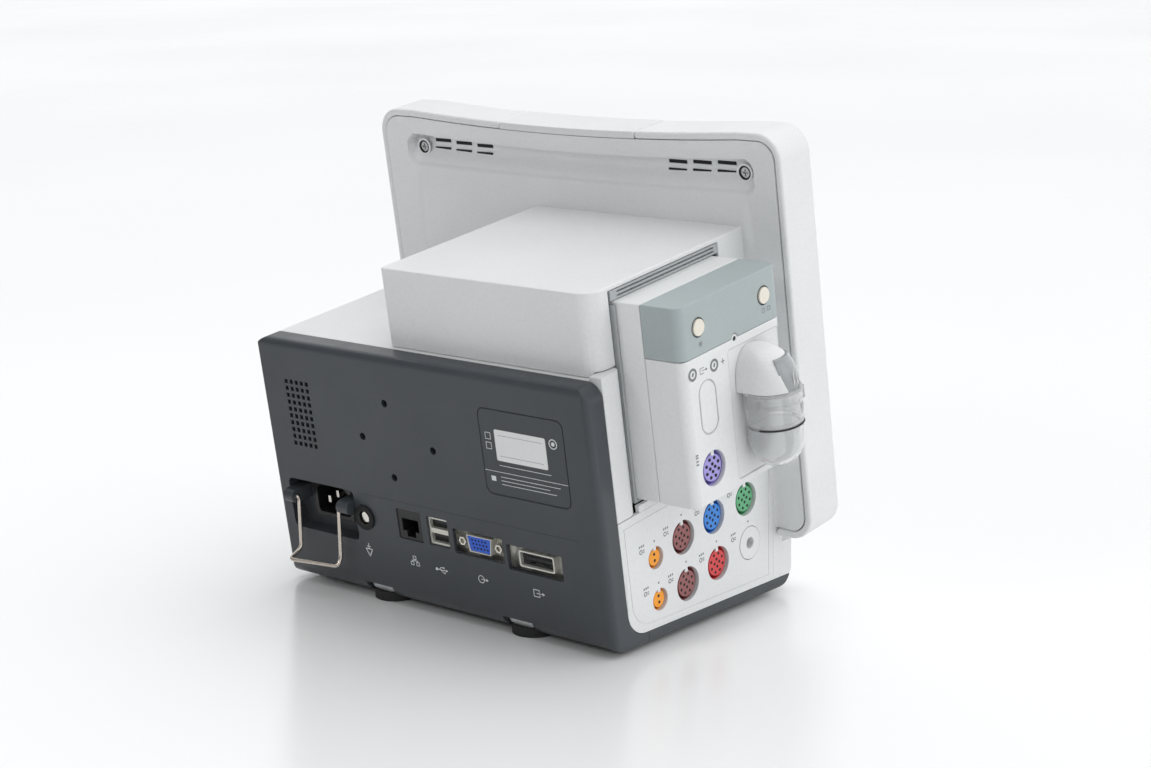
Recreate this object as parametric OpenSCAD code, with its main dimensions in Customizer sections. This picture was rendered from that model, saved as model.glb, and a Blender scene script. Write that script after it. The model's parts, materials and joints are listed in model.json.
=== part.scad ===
// Bedside patient monitor with a leaning body, a wide display and a plug-in gas module.
// Millimetres. +Z is up and the screen faces -Y. The sensor sockets are on the -X side.
// The origin is the centre of the four screw holes under the base.
// "u" counts from the socket side, "w" from the rear face and "t" up the lean.

/* [Body] */
// Width of the main body
body_w = 233.5; // [220:0.5:290]
// Depth of the body from its rear face to the back of the display
body_d = 143.5; // [140:0.5:175]
// Height of the main body, measured up the lean
body_h = 139.5; // [134:0.5:168]
// Backward lean of the body in degrees
lean = 8; // [5:0.5:10]
// Wall of the plastic shells
wall = 2.5; // [2:0.1:3.5]
// How far the rear cover's rim reaches forward
rear_rim = 12.6; // [10:0.1:16]
// Height of the dark band along the base
band_h = 6.5; // [5:0.5:9]
// Distance from the back of the base to the front of its toe
toe_reach = 149.5; // [148:0.5:180]

/* [Upper housing] */
// Width of the raised housing beside the display
upper_w = 140.5; // [130:0.5:170]
// Height of the raised housing above the main body
upper_h = 42.5; // [38:0.5:52]

/* [Display] */
// How far the display head stands out past each side of the body
display_over = 23.75; // [20:0.25:35]
// How far the display head stands above the raised housing
display_rise = 49.5; // [45:0.5:70]
// Depth of the display head
display_d = 27; // [25:0.5:34]
// Border beside the visible picture
picture_side = 10; // [10:0.5:26]
// Border above the visible picture
picture_top = 24; // [12:0.5:40]

/* [Module] */
// Height of the plug-in module
module_h = 102; // [90:0.5:102]
// Width of the plug-in module, along the body's depth
module_w = 80.5; // [70:0.5:81]
// Depth of the plug-in module
module_d = 136.5; // [110:0.5:145]
// How far the module's front stands out of the side
module_out = 34.7; // [28:0.1:40]
// Height of the tinted band at the module's top
tint_h = 27; // [22:0.5:34]

/* [Fittings] */
// Diameter of the wire of the cord bail
wire_d = 2.2; // [1.6:0.1:2.6]
// Diameter of a round sensor socket
socket_d = 18; // [16:0.1:20]
// Diameter of the water trap
trap_d = 29; // [25:0.5:32]
// Spacing of the base screw holes across the width
base_hole_x = 100; // [80:1:120]
// Spacing of the base screw holes along the depth
base_hole_y = 55; // [50:1:60]

/* [Hidden] */

base_y = 80;              // the rear face meets the floor plane here
skin = 0.1;               // gap between fixed pieces that touch
run = 0.35;               // gap round a piece that slides
seam = 0.3;               // visible parting line between shells
lip_r = 4.5;              // rounding of the rear cover's outer edge
heel_r = 12;              // rounding under the rear face and under the toe
top_r = 9;                // rounding of the two upper corners
seam_y = 26.4;            // rear cover to base tray, from the back of the base
base_hole_r = 2.1;        // holes for M4 screws
panel_r = 14;             // lower rear corner of the socket panel
toe_h = 26;               // height of the toe under the display
foot_drop = 2.5;          // feet below the base

// ---------- frames ----------

// Everything in the leaning frame: x across, y = -w, z = t
module leaning() {
    translate([0, base_y, 0]) rotate([-lean, 0, 0]) children();
}

// Leaning frame with its origin at (u, w, t)
module at(u, w, t) {
    leaning() translate([u - body_w / 2, -w, t]) children();
}

// Box from one corner to the other, in (u, w, t)
module block(low, high) {
    at(low[0], high[1], low[2]) cube([high[0] - low[0], high[1] - low[1], high[2] - low[2]]);
}

// A flat outline drawn in (u, t) and pushed forward by depth from w
module from_rear(u, w, t, depth) {
    at(u, w, t) rotate([90, 0, 0]) linear_extrude(depth) children();
}

// A flat outline drawn in (w, t) seen from the socket side, pushed inward from u
module from_side(u, w, t, depth) {
    at(u, w, t) rotate([90, 0, 0]) rotate([0, 90, 0]) linear_extrude(depth) mirror([1, 0]) children();
}

// A round bar along the width
module bar_x(d, length) {
    rotate([0, 90, 0]) cylinder(d = d, h = length, $fn = 48);
}

// ---------- outlines ----------

// Rectangle with round corners, centred
module round_rect(w, h, r) {
    square([w - 2 * r, h], center = true);
    square([w, h - 2 * r], center = true);
    for (x = [-1, 1], y = [-1, 1])
        translate([x * (w / 2 - r), y * (h / 2 - r)]) circle(r, $fn = 64);
}

// What is cut away to round a corner: a and b are the directions of its two edges
module corner_waste(corner, a, b, r) {
    half = (b - a) / 2;
    reach = r / tan(half);
    centre = corner + r / sin(half) * [cos(a + half), sin(a + half)];
    difference() {
        polygon([
            corner - 0.01 * [cos(a + half), sin(a + half)],
            corner + reach * [cos(a), sin(a)],
            centre,
            corner + reach * [cos(b), sin(b)]
        ]);
        translate(centre) circle(r, $fn = 96);
    }
}

// Side outline of the main body in (Y, Z), set in by o
module body_outline(o) {
    difference() {
        union() {
            intersection() {
                translate([base_y, 0]) rotate(-lean)
                    translate([-body_d + o, -60]) square([body_d - 2 * o, 60 + body_h - o]);
                translate([-250, o]) square([500, 400]);
            }
            translate([base_y - toe_reach + o, o]) square([toe_reach * 0.4, toe_h - 2 * o]);
        }
        corner_waste([base_y - o / cos(lean) + o * tan(lean), o], 90 - lean, 180, heel_r - o);
        corner_waste([base_y - toe_reach + o, o], 0, 90, heel_r - o);
        translate([base_y, 0]) rotate(-lean)
            corner_waste([-o, body_h - o], 180, 270, lip_r - min(o, lip_r - 1));
    }
}

// The whole main body as one solid, set in by o
module body_solid(o) {
    intersection() {
        translate([-body_w / 2 + o, 0, 0]) rotate([90, 0, 90])
            linear_extrude(body_w - 2 * o) body_outline(o);
        // rear view: small rounding along the base
        translate([0, 200, 0]) rotate([90, 0, 0]) linear_extrude(400)
            translate([0, 150 + o]) round_rect(body_w - 2 * o, 300, 3);
        // rear view: rounded upper corners
        from_rear(body_w / 2, -50, body_h - o - 150, 300) round_rect(body_w - 2 * o, 300, top_r - o);
        // plan view: rounded upright edges at the rear
        leaning() translate([0, 0, -60]) linear_extrude(400) difference() {
            translate([-body_w / 2 + o, -toe_reach - 60]) square([body_w - 2 * o, toe_reach + 60 - o]);
            corner_waste([-body_w / 2 + o, -o], 270, 360, lip_r);
            corner_waste([body_w / 2 - o, -o], 180, 270, lip_r);
        }
    }
}

// Ground that the white shells stand on: ahead of the rear rim and above the base band
module white_zone(gap) {
    translate([-body_w, 0, 0]) rotate([90, 0, 90]) linear_extrude(2 * body_w)
        difference() {
            intersection() {
                translate([base_y, 0]) rotate(-lean)
                    translate([-400 - rear_rim - gap, -100]) square([400, 500]);
                translate([-300, band_h + gap]) square([600, 400]);
            }
            corner_waste([zone_y(gap), band_h + gap], 90 - lean, 180, panel_r);
        }
}

// Where the edge of the white zone meets the top of the base band
function zone_y(gap) = base_y - (rear_rim + gap - (band_h + gap) * sin(lean)) / cos(lean);

// ---------- bay and slot ----------

module_w0 = 32.3;                       // rear side of the module
module_t0 = body_h + upper_h - 8 - module_h; // underside of the module
module_in = module_d - module_out;      // how far the module reaches inside
bay_wall = 1.5;
bay_w0 = module_w0 - run - bay_wall;
bay_w1 = module_w0 + module_w + run + bay_wall;
bay_t0 = module_t0 - run - bay_wall;
bay_deep = module_in + 8;               // back wall of the bay
rail_t = body_h + upper_h - wall - skin;
rail_low = module_t0 + module_h + 0.5 - skin; // the rail clears the module
slot_w0 = bay_w0 - 0.6;
slot_w1 = bay_w1 + 3;
upper_u = 4.5;                          // the raised housing steps in by this much
upper_w0 = 15.5;
upper_rear_r = 9;

module slot_cut() {
    block([-5, slot_w0, bay_t0 - 0.6], [upper_u + wall + 1, slot_w1, rail_t + skin]);
}

module bay_cut() {
    block([-5, slot_w0, body_h - wall - 1], [bay_deep + 4, slot_w1, body_h + 1]);
}

// ---------- rear connector places (u, t) ----------

ledge_t = 59.4;            // faint step above the connectors
inlet_at = [body_w - 36.1, 48];
inlet_size = [24.5, 16.6];
inlet_flange = [29.5, 21.5];
bay_inlet = [body_w - 35.1, 45.3]; // recess round the mains inlet
bay_inlet_size = [50, 28.5];
bay_inlet_depth = 9;
ramp_u = [body_w - 58.5, body_w - 12]; // ramp under the pocket
ramp_t = [13, 33];
ramp_depth = 4.5;
terminal_at = [166.3, 45.8];
terminal_d = 14;
terminal_body_d = 9.6;
terminal_len = 8;
terminal_pin_d = 3.8;
network_at = [133.1, 46.9];
network_size = [17.1, 16.5];
usb_at = [112.7, 46.6];
usb_size = [14.4, 15.5];
video_at = [84.7, 44.2];
video_size = [34.4, 13.5];
jack_spread = 25;          // jackscrews of a 15-pin video port
io_at = [46.6, 42];
io_size = [36.7, 13.8];
recess_w = 4.5;            // connectors sit this far behind the rear face
board_w = 22;              // rear connectors are carried by a board here
grille_at = [body_w - 28.7, 99];
grille_pitch = 3.93;
grille_hole = 2.3;
wall_holes = [[139, 114], [159, 93], [108, 92.6], [139.4, 72.8]];
hole_r = 2;
hole_boss = 4.5;
hole_len = 9;
plate_at = [45.1, 98.7];
plate_size = [55.6, 45.7];
foot_u = [64.4, 164];
foot_r = 12;
foot_y = 13;               // rear feet, from the back of the base
foot_front_y = 128;
notch_h = 8;               // notches over the rear feet

// bail
bail_t = 50.5;
bail_w = -2.2;             // the pivot stands a little behind the rear face
bail_u = [body_w - 50, body_w - 19];
bail_leg = 33;
bail_foot = [2.5, 9];      // how far each end of the cross bar stands out
bail_pin = 7;              // pivot pins inside the brackets

module port_hole(place, size, r) {
    from_rear(place[0], -1, place[1], wall + recess_w + 3) round_rect(size[0], size[1], r);
}

// ---------- shells ----------

module base_tray() color("#4a5254") {
    base_shell();
    base_bosses();
}

module base_shell() difference() {
    intersection() {
        difference() {
            body_solid(0);
            body_solid(wall);
            white_zone(0);
        }
        translate([-300, -300, -10]) cube([600, 300 + base_y - seam_y - seam, 200]);
    }
    for (x = [-1, 1], y = [-1, 1])
        translate([x * base_hole_x / 2, y * base_hole_y / 2, -1]) cylinder(r = base_hole_r, h = 20, $fn = 48);
}

module base_bosses() {
    for (x = [-1, 1], y = [-1, 1])
        translate([x * base_hole_x / 2, y * base_hole_y / 2, wall - 0.5]) difference() {
            cylinder(r = 4.5, h = 8, $fn = 48);
            translate([0, 0, -1]) cylinder(r = base_hole_r, h = 20, $fn = 48);
        }
}

module rear_cover() color("#4b5356") {
    difference() {
        union() {
            intersection() {
                difference() {
                    body_solid(0);
                    body_solid(wall);
                    white_zone(0);
                }
                translate([-300, base_y - seam_y, -10]) cube([600, 300, 400]);
            }
            for (h = wall_holes)
                at(h[0], wall - 0.5, h[1]) rotate([90, 0, 0])
                    cylinder(r = hole_boss, h = hole_len - wall + 0.5, $fn = 48);
            // thicker ground under the ramp below the mains inlet
            block([ramp_u[0] - 3, wall - 0.5, ramp_t[0] - 2], [ramp_u[1] + 3, ramp_depth + wall, ramp_t[1] + 1]);
            // pocket round the mains inlet
            from_rear(bay_inlet[0], wall - 0.5, bay_inlet[1], bay_inlet_depth - 0.5)
                round_rect(bay_inlet_size[0] + 2 * 2, bay_inlet_size[1] + 2 * 2, 4);
        }
        from_rear(bay_inlet[0], -1, bay_inlet[1], bay_inlet_depth + 1)
            round_rect(bay_inlet_size[0], bay_inlet_size[1], 3);
        from_rear(inlet_at[0], 0, inlet_at[1], 20)
            round_rect(inlet_flange[0] + 0.4, inlet_flange[1] + 0.4, 2);
        // ramp from the pocket down to the lower edge
        at(ramp_u[0], -0.001, ramp_t[0]) rotate([-atan(ramp_depth / (ramp_t[1] - ramp_t[0])), 0, 0])
            translate([0, 0, 0]) cube([ramp_u[1] - ramp_u[0], 12, ramp_t[1] - ramp_t[0] + 4]);
        // the faint ledge
        at(15, 0, ledge_t) rotate([0.9, 0, 0]) translate([0, 0, -36]) cube([152, 5, 36]);
        for (h = wall_holes)
            at(h[0], -1, h[1]) rotate([90, 0, 0]) cylinder(r = hole_r, h = hole_len + 1, $fn = 48);
        for (c = [-2 : 2], r = [-4.5 : 4.5])
            from_rear(grille_at[0] + c * grille_pitch, -1, grille_at[1] + r * grille_pitch, wall + 2)
                square(grille_hole, center = true);
        from_rear(plate_at[0], -1, plate_at[1], 1.4) round_rect(plate_size[0] + 0.6, plate_size[1] + 0.6, 4.3);
        from_rear(terminal_at[0], -1, terminal_at[1], wall + 2) circle(d = terminal_body_d + 0.2, $fn = 64);
        port_hole(network_at, network_size + [0.4, 0.4], 0.8);
        port_hole(usb_at, usb_size + [0.4, 0.4], 0.8);
        port_hole(video_at, video_size, 0.8);
        port_hole(io_at, io_size, 0.8);
        for (u = foot_u)
            translate([u - body_w / 2, base_y - foot_y, -1]) {
                cylinder(r = foot_r + run, h = 4.2, $fn = 64);
                translate([2 - foot_r, -2, 0]) cube([2 * foot_r - 4, foot_y + 10, notch_h]);
            }
    }
}

module main_housing() color("#e4e6e6") difference() {
    intersection() {
        difference() {
            body_solid(0);
            body_solid(wall);
        }
        white_zone(seam);
    }
    panel_zone(0);
    pillar_zone(0);
    slot_cut();
    bay_cut();
    door_cut();
    // the raised housing covers this part of the roof
    block([upper_u + wall + 4, upper_w0 + wall + 4, body_h - 10],
        [upper_u + upper_w - wall - 4, body_d - wall - 4, body_h + 1]);
}

panel_t1 = 66;            // top of the socket panel
pillar_top = body_h + 2.2;
panel_y1 = 133;           // front parting line, from the back of the base
groove_in = 4;            // outline round the sockets, in from the panel's edge

// The part of the socket side that belongs to the socket panel
module panel_zone(gap) {
    difference() {
        intersection() {
            block([-1, 0, -30], [wall + 0.01, 200, panel_t1 - gap]);
            translate([-300, base_y - panel_y1 + gap, 0]) cube([600, 400, 400]);
        }
        block([-1, slot_w0, bay_t0 - 0.6], [wall + 1, slot_w1, rail_t]);
    }
}

module groove_zone(gap) {
    intersection() {
        white_zone(gap);
        panel_zone(gap);
    }
}

// The white pillar between the rear cover and the slot
module pillar_zone(gap) {
    block([-1, 0, panel_t1 + gap], [wall + 6, slot_w0 + 0.01, pillar_top + gap]);
}

module socket_hole(w, t, d) {
    from_side(-1, w, t, wall + 2) circle(d = d, $fn = 96);
}

temp_at = [[38.6, 38.4], [38.6, 15.7]];
temp_d = 11.8;
pressure_at = [[61.5, 40.6], [61.5, 14.9]];
oxygen_at = [87.5, 41.8];
output_at = [87.5, 15.9];
ecg_at = [115.3, 41.3];
cuff_at = [115.3, 16.4];
cuff_d = 18.3;

module socket_panel() color("#e7e9e9") difference() {
    intersection() {
        body_solid(0);
        white_zone(seam);
        panel_zone(seam / 2);
        translate([-body_w / 2 - 1, -200, 0]) cube([wall + 1, 400, 300]);
    }
    // thin groove that follows the panel's edge
    intersection() {
        difference() {
            groove_zone(groove_in);
            groove_zone(groove_in + 0.4);
        }
        translate([-body_w / 2 - 1, -200, 0]) cube([1.3, 400, 300]);
    }
    for (p = temp_at) socket_hole(p[0], p[1], temp_d);
    for (p = concat(pressure_at, [oxygen_at, output_at, ecg_at])) socket_hole(p[0], p[1], socket_d);
    socket_hole(cuff_at[0], cuff_at[1], cuff_d);
}

module side_pillar() color("#e9ebeb") {
    w0 = rear_rim + seam;
    w1 = slot_w0 - seam;
    at(0, 0, panel_t1 + seam / 2) linear_extrude(pillar_top - panel_t1 - seam / 2) difference() {
        translate([0, -w1]) square([wall + 5.5, w1 - w0]);
        corner_waste([0, -w1], 0, 90, 7);
    }
}

module upper_housing() color("#e8eaea") difference() {
    union() {
        at(0, 0, body_h + skin) linear_extrude(upper_h - skin) difference() {
            translate([upper_u, -body_d + 0.5]) square([upper_w, body_d - 0.5 - upper_w0]);
            corner_waste([upper_u, -upper_w0], 270, 360, upper_rear_r);
            corner_waste([upper_u + upper_w, -upper_w0], 180, 270, 3);
        }
    }
    at(0, 0, body_h - 1) linear_extrude(upper_h + 1 - wall) difference() {
        translate([upper_u + wall, -body_d + 0.5 + wall])
            square([upper_w - 2 * wall, body_d - 0.5 - upper_w0 - 2 * wall]);
        corner_waste([upper_u + wall, -upper_w0 - wall], 270, 360, upper_rear_r - wall);
    }
    slot_cut();
    pillar_zone(seam);
    // room for the rail just under the roof
    block([-5, slot_w0, rail_t - 6], [upper_u + wall + 1, slot_w1, rail_t + skin]);
}

module rating_plate() color("#3c4448")
    from_rear(plate_at[0], 0.1, plate_at[1], 0.3) round_rect(plate_size[0], plate_size[1], 4);

// ---------- feet ----------

module foot_places() {
    for (u = foot_u) translate([u - body_w / 2, base_y - foot_y, 0]) children();
    for (u = foot_u) translate([u - body_w / 2, base_y - foot_front_y, 0]) children();
}

module feet() color("#26282a") {
    foot_places() translate([0, 0, -foot_drop]) cylinder(r = foot_r, h = foot_drop - skin, $fn = 64);
    // the rear pair rises into the notches of the rear cover
    for (u = foot_u) translate([u - body_w / 2, base_y - foot_y, -skin - 0.5]) difference() {
        cylinder(r = foot_r, h = 3.5, $fn = 64);
        translate([0, 0, 2.4]) cylinder(r = foot_r - 1.2, h = 3, $fn = 64);
    }
}

// ---------- mains inlet and bail ----------

module power_inlet() color("#17181a") difference() {
    from_rear(inlet_at[0], bay_inlet_depth - 2.2, inlet_at[1], 20)
        round_rect(inlet_flange[0], inlet_flange[1], 1.6);
    from_rear(inlet_at[0], bay_inlet_depth - 4, inlet_at[1], 17.8)
        difference() {
            round_rect(inlet_size[0], inlet_size[1], 2);
            for (s = [-1, 1])
                translate([s * inlet_size[0] / 2, inlet_size[1] / 2]) rotate(45) square(5, center = true);
        }
}

module inlet_pins() color("#d8d8d4")
    for (p = [[-7, -2], [7, -2], [0, 2]])
        from_rear(inlet_at[0] + p[0], bay_inlet_depth + 1.5, inlet_at[1] + p[1], 12.3)
            square([2, 4], center = true);

module bail_brackets() color("#2b3033")
    for (s = [-1, 1]) {
        near = s < 0 ? bail_u[0] : bail_u[1];
        inner = near + s * (wire_d / 2 + 0.4);
        outer = bay_inlet[0] + s * (bay_inlet_size[0] / 2 - skin);
        length = abs(outer - inner);
        difference() {
            union() {
                at(min(inner, outer), bail_w, bail_t) bar_x(7.5, length);
                block([min(inner, outer), bail_w, bail_t - 3.75],
                    [max(inner, outer), bay_inlet_depth - 0.1, bail_t + 3.75]);
            }
            at(near + (s < 0 ? -bail_pin - 0.3 : 0), bail_w, bail_t) bar_x(wire_d + 0.12, bail_pin + 0.3);
        }
    }

// A straight length of wire from a to b, with its ends run into the bends
module wire_run(a, b, d) {
    span = b - a;
    way = span / norm(span);
    start = a - 0.4 * wire_d * way;
    translate(start) rotate([0, acos(way[2]), atan2(way[1], way[0])])
        cylinder(d = d, h = norm(span) + 0.8 * wire_d, $fn = 48);
}

// The wire hangs plumb from its pivots, and its cross bar stands out to the rear
module cord_bail() color("#b9ada0") {
    pivot = [0, base_y - bail_w * cos(lean) + bail_t * sin(lean), bail_w * sin(lean) + bail_t * cos(lean)];
    low = pivot[2] - bail_leg;
    u0 = bail_u[0] - body_w / 2;
    u1 = bail_u[1] - body_w / 2;
    route = [
        [u0 - bail_pin + 0.4 * wire_d, pivot[1], pivot[2]],
        [u0, pivot[1], pivot[2]],
        [u0, pivot[1], low],
        [u0, pivot[1] + bail_foot[0], low - 0.5],
        [u1, pivot[1] + bail_foot[1], low - 0.5],
        [u1, pivot[1], low],
        [u1, pivot[1], pivot[2]],
        [u1 + bail_pin - 0.4 * wire_d, pivot[1], pivot[2]]
    ];
    // alternate runs differ a little in thickness, so their surfaces never coincide
    for (i = [0 : len(route) - 2]) wire_run(route[i], route[i + 1], wire_d - (i % 2) * 0.12);
}

// ---------- rear connectors ----------

module terminal_ring() color("#0e0f10") difference() {
    union() {
        from_rear(terminal_at[0], -1.2, terminal_at[1], 1.2 - skin) circle(d = terminal_d, $fn = 64);
        from_rear(terminal_at[0], -1, terminal_at[1], terminal_len + 1) circle(d = terminal_body_d, $fn = 64);
    }
    from_rear(terminal_at[0], -2, terminal_at[1], terminal_len) circle(d = terminal_body_d - 2, $fn = 64);
    from_rear(terminal_at[0], -2, terminal_at[1], 20) circle(d = terminal_pin_d + 0.1, $fn = 48);
}

module terminal_pin() color("#e8e2d6") {
    from_rear(terminal_at[0], 0.2, terminal_at[1], terminal_len + 4) circle(d = terminal_pin_d, $fn = 48);
    from_rear(terminal_at[0], 0.2, terminal_at[1], terminal_len - 2.2 - skin) circle(d = 6, $fn = 48);
}

module network_jack() color("#121314") difference() {
    from_rear(network_at[0], 0.6, network_at[1], board_w - 0.6 - skin)
        square(network_size, center = true);
    from_rear(network_at[0], -1, network_at[1] - 0.8, 14) union() {
        translate([0, 0.6]) square([11.8, 6.8], center = true);
        translate([0, -4]) square([6.2, 4], center = true);
    }
}

module usb_stack() color("#b8b4aa") difference() {
    from_rear(usb_at[0], 1.4, usb_at[1], board_w - 1.4 - skin) square(usb_size, center = true);
    for (s = [-1, 1])
        from_rear(usb_at[0], 0, usb_at[1] + s * 3.9, 15) square([12.5, 5.1], center = true);
}

module usb_tongues() color("#151617")
    for (s = [-1, 1])
        from_rear(usb_at[0], 3.4, usb_at[1] + s * 3.9 + 0.9, 11.6) square([11.2, 1.9], center = true);

// Trapezoid outline of a D-shaped connector
module d_outline(w, h) {
    polygon([[-w / 2 + 1.3, -h / 2], [w / 2 - 1.3, -h / 2], [w / 2, h / 2], [-w / 2, h / 2]]);
}

module video_shell() color("#b9b5ab") difference() {
    union() {
        from_rear(video_at[0], recess_w + 1.2, video_at[1], 1.2) square([30.8, 12.2], center = true);
        from_rear(video_at[0], recess_w - 3.6, video_at[1], board_w - recess_w + 3.6 - skin)
            d_outline(17.4, 9.4);
    }
    from_rear(video_at[0], -2, video_at[1], recess_w + 11) d_outline(16.2, 8.2);
    for (s = [-1, 1])
        from_rear(video_at[0] + s * jack_spread / 2, 0, video_at[1], 20) circle(d = 3.4, $fn = 48);
}

module video_insert() color("#2f6fe0") difference() {
    from_rear(video_at[0], recess_w - 3.2, video_at[1], 9) d_outline(16, 8);
    for (row = [-1 : 1], col = [-2 : 2])
        from_rear(video_at[0] + col * 2.3 + row * 0.5, -1, video_at[1] + row * 2.1, 8)
            circle(d = 1, $fn = 16);
}

module jackscrews() color("#cfcabf")
    for (s = [-1, 1])
        difference() {
            union() {
                from_rear(video_at[0] + s * jack_spread / 2, recess_w - 3, video_at[1], 4.1)
                    circle(d = 5.2, $fn = 6);
                from_rear(video_at[0] + s * jack_spread / 2, recess_w + 1, video_at[1], 5)
                    circle(d = 3.2, $fn = 48);
            }
            from_rear(video_at[0] + s * jack_spread / 2, recess_w - 4, video_at[1], 5)
                circle(d = 2.6, $fn = 32);
        }

module io_shell() color("#b9b5ab") difference() {
    union() {
        from_rear(io_at[0], recess_w + 1.2, io_at[1], 1.2) square([33.6, 12.4], center = true);
        from_rear(io_at[0], recess_w - 3, io_at[1], board_w - recess_w + 3 - skin)
            round_rect(23.5, 9, 1.2);
    }
    from_rear(io_at[0], -2, io_at[1], recess_w + 9) round_rect(21.6, 7.2, 0.8);
}

module io_insert() color("#1a1a1a") difference() {
    from_rear(io_at[0], recess_w - 1, io_at[1], 7) round_rect(21.2, 6.8, 0.7);
    for (row = [-1, 1], col = [-6.5 : 6.5])
        from_rear(io_at[0] + col * 1.27, 0, io_at[1] + row * 1.3, recess_w + 5)
            square([0.6, 1.2], center = true);
}

// Screening plate behind the connector openings
module io_bracket() color("#c5c3bc") difference() {
    block([24, recess_w + 2.5, 30], [145, recess_w + 3.3, 57.5]);
    from_rear(network_at[0], 0, network_at[1], 20) square(network_size + [0.6, 0.6], center = true);
    from_rear(usb_at[0], 0, usb_at[1], 20) square(usb_size + [0.6, 0.6], center = true);
    from_rear(video_at[0], 0, video_at[1], 20) d_outline(18, 10);
    for (s = [-1, 1])
        from_rear(video_at[0] + s * jack_spread / 2, 0, video_at[1], 20) circle(d = 3.4, $fn = 48);
    from_rear(io_at[0], 0, io_at[1], 20) round_rect(24.1, 9.6, 1.4);
}

module io_board() color("#1f6b45") block([20, board_w, 27], [150, board_w + 1.6, 60]);

module speaker() color("#303335") difference() {
    union() {
        from_rear(grille_at[0], wall + skin, grille_at[1], 3) round_rect(24, 44, 4);
        from_rear(grille_at[0], wall + skin, grille_at[1], 13) circle(d = 20, $fn = 64);
    }
    from_rear(grille_at[0], wall - 1, grille_at[1], 4) circle(d = 18, $fn = 64);
}

// ---------- sensor sockets ----------

// Cup behind the panel with an island of contacts in the middle
module socket(w, t, d, island, holes, rim_u) {
    difference() {
        from_side(rim_u + wall + skin, w, t, socket_deep) circle(d = d + 3, $fn = 96);
        from_side(rim_u + wall, w, t, 7) difference() {
            circle(d = d - 0.8, $fn = 96);
            circle(d = island, $fn = 96);
        }
    }
    difference() {
        from_side(rim_u + 1, w, t, wall + 2) circle(d = island, $fn = 96);
        for (p = holes) from_side(rim_u - 1, w + p[0], t + p[1], 5) circle(d = 1.3, $fn = 24);
    }
    // keyway at the top
    from_side(rim_u + 1, w, t + island / 2 + 0.55, wall + 2) square([2.2, 1.7], center = true);
}

function ring_holes(n, r, turn) = [for (i = [0 : n - 1]) r * [cos(turn + i * 360 / n), sin(turn + i * 360 / n)]];
twelve = concat(ring_holes(8, 5, 22.5), ring_holes(4, 2, 0));
pair = [[0, 1.7], [0, -1.7]];
island_d = 13.7;

module temp_sockets() color("#f6a032") for (p = temp_at) socket(p[0], p[1], temp_d, 8.5, pair, 0);
module pressure_sockets() color("#8f5a57")
    for (p = pressure_at) socket(p[0], p[1], socket_d, island_d, twelve, 0);
module oxygen_socket() color("#3f8fdc") socket(oxygen_at[0], oxygen_at[1], socket_d, island_d, twelve, 0);
module output_socket() color("#dc4a48") socket(output_at[0], output_at[1], socket_d, island_d, twelve, 0);
module ecg_socket() color("#5aa874") socket(ecg_at[0], ecg_at[1], socket_d, island_d, twelve, 0);

cuff_bore_r = 3;
cuff_bore_len = 12;

module cuff_port() color("#e6e7e7") difference() {
    union() {
        from_side(-0.3, cuff_at[0], cuff_at[1], 16) circle(d = cuff_d - 0.6, $fn = 96);
        from_side(wall + skin, cuff_at[0], cuff_at[1], 8) circle(d = cuff_d + 3, $fn = 96);
    }
    from_side(-1, cuff_at[0], cuff_at[1], cuff_bore_len + 0.7) circle(r = cuff_bore_r, $fn = 64);
}

socket_deep = 14;
sensor_board_u = wall + 2 * skin + socket_deep;

// A block that goes down to the floor of the base tray
module standing_block(low, high) {
    intersection() {
        block([low[0], low[1], -60], high);
        translate([-300, -300, wall + skin]) cube([600, 600, 400]);
    }
}

module sensor_board() color("#1f6b45")
    standing_block([sensor_board_u, 26], [sensor_board_u + 1.6, 104, 62]);

pump_at = [119, 24];

module cuff_pump() color("#8b8f92") {
    from_side(18, pump_at[0], pump_at[1], 26) circle(d = 24, $fn = 64);
    from_side(43, pump_at[0], pump_at[1], 18) circle(d = 20, $fn = 64);
    standing_block([20, pump_at[0] - 8], [42, pump_at[0] + 8, pump_at[1] - 6]);
}

// ---------- power ----------

door_w = [46, 112];
door_t = [24, 76];
door_thick = 2.2;
door_pin_r = 0.6;
door_pin_reach = 2;
pack_size = [24, 62, 46];   // across, deep, high
frame_u = body_w - 81.5;    // upright of the chassis
sheet = 1.5;
supply_t = 82;

module door_cut() {
    block([body_w - wall - 1, door_w[0], door_t[0]], [body_w + 1, door_w[1], door_t[1]]);
    door_axis(door_pin_r + 0.05, door_pin_reach + 0.3 + run);
}

// Round bar along the door's hinge line, with reach past each side of the door
module door_axis(r, reach) {
    at(body_w - door_thick / 2, door_w[1] - run + reach, door_t[0] + run + door_thick / 2)
        rotate([-90, 0, 0]) cylinder(r = r, h = door_w[1] - door_w[0] - 2 * run + 2 * reach, $fn = 48);
}

module battery_door() color("#dfe1e1") difference() {
    union() {
        block([body_w - door_thick, door_w[0] + run, door_t[0] + run + door_thick / 2],
            [body_w, door_w[1] - run, door_t[1] - run]);
        door_axis(door_thick / 2, 0);
        door_axis(door_pin_r, door_pin_reach + run);
    }
    // finger scoop
    from_side(body_w - 1.2, (door_w[0] + door_w[1]) / 2, door_t[1] - 9, 3) round_rect(18, 6, 2.9);
}

module battery_pack() color("#2d3134")
    block([body_w - wall - 1 - pack_size[0], door_w[0] + 2, door_t[0] + skin],
        [body_w - wall - 1, door_w[0] + 2 + pack_size[1], door_t[0] + skin + pack_size[2]]);

module power_supply() color("#b9bcbc")
    block([frame_u + sheet + skin, 34, supply_t + skin], [body_w - wall - 2, 134, supply_t + 46]);

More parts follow.
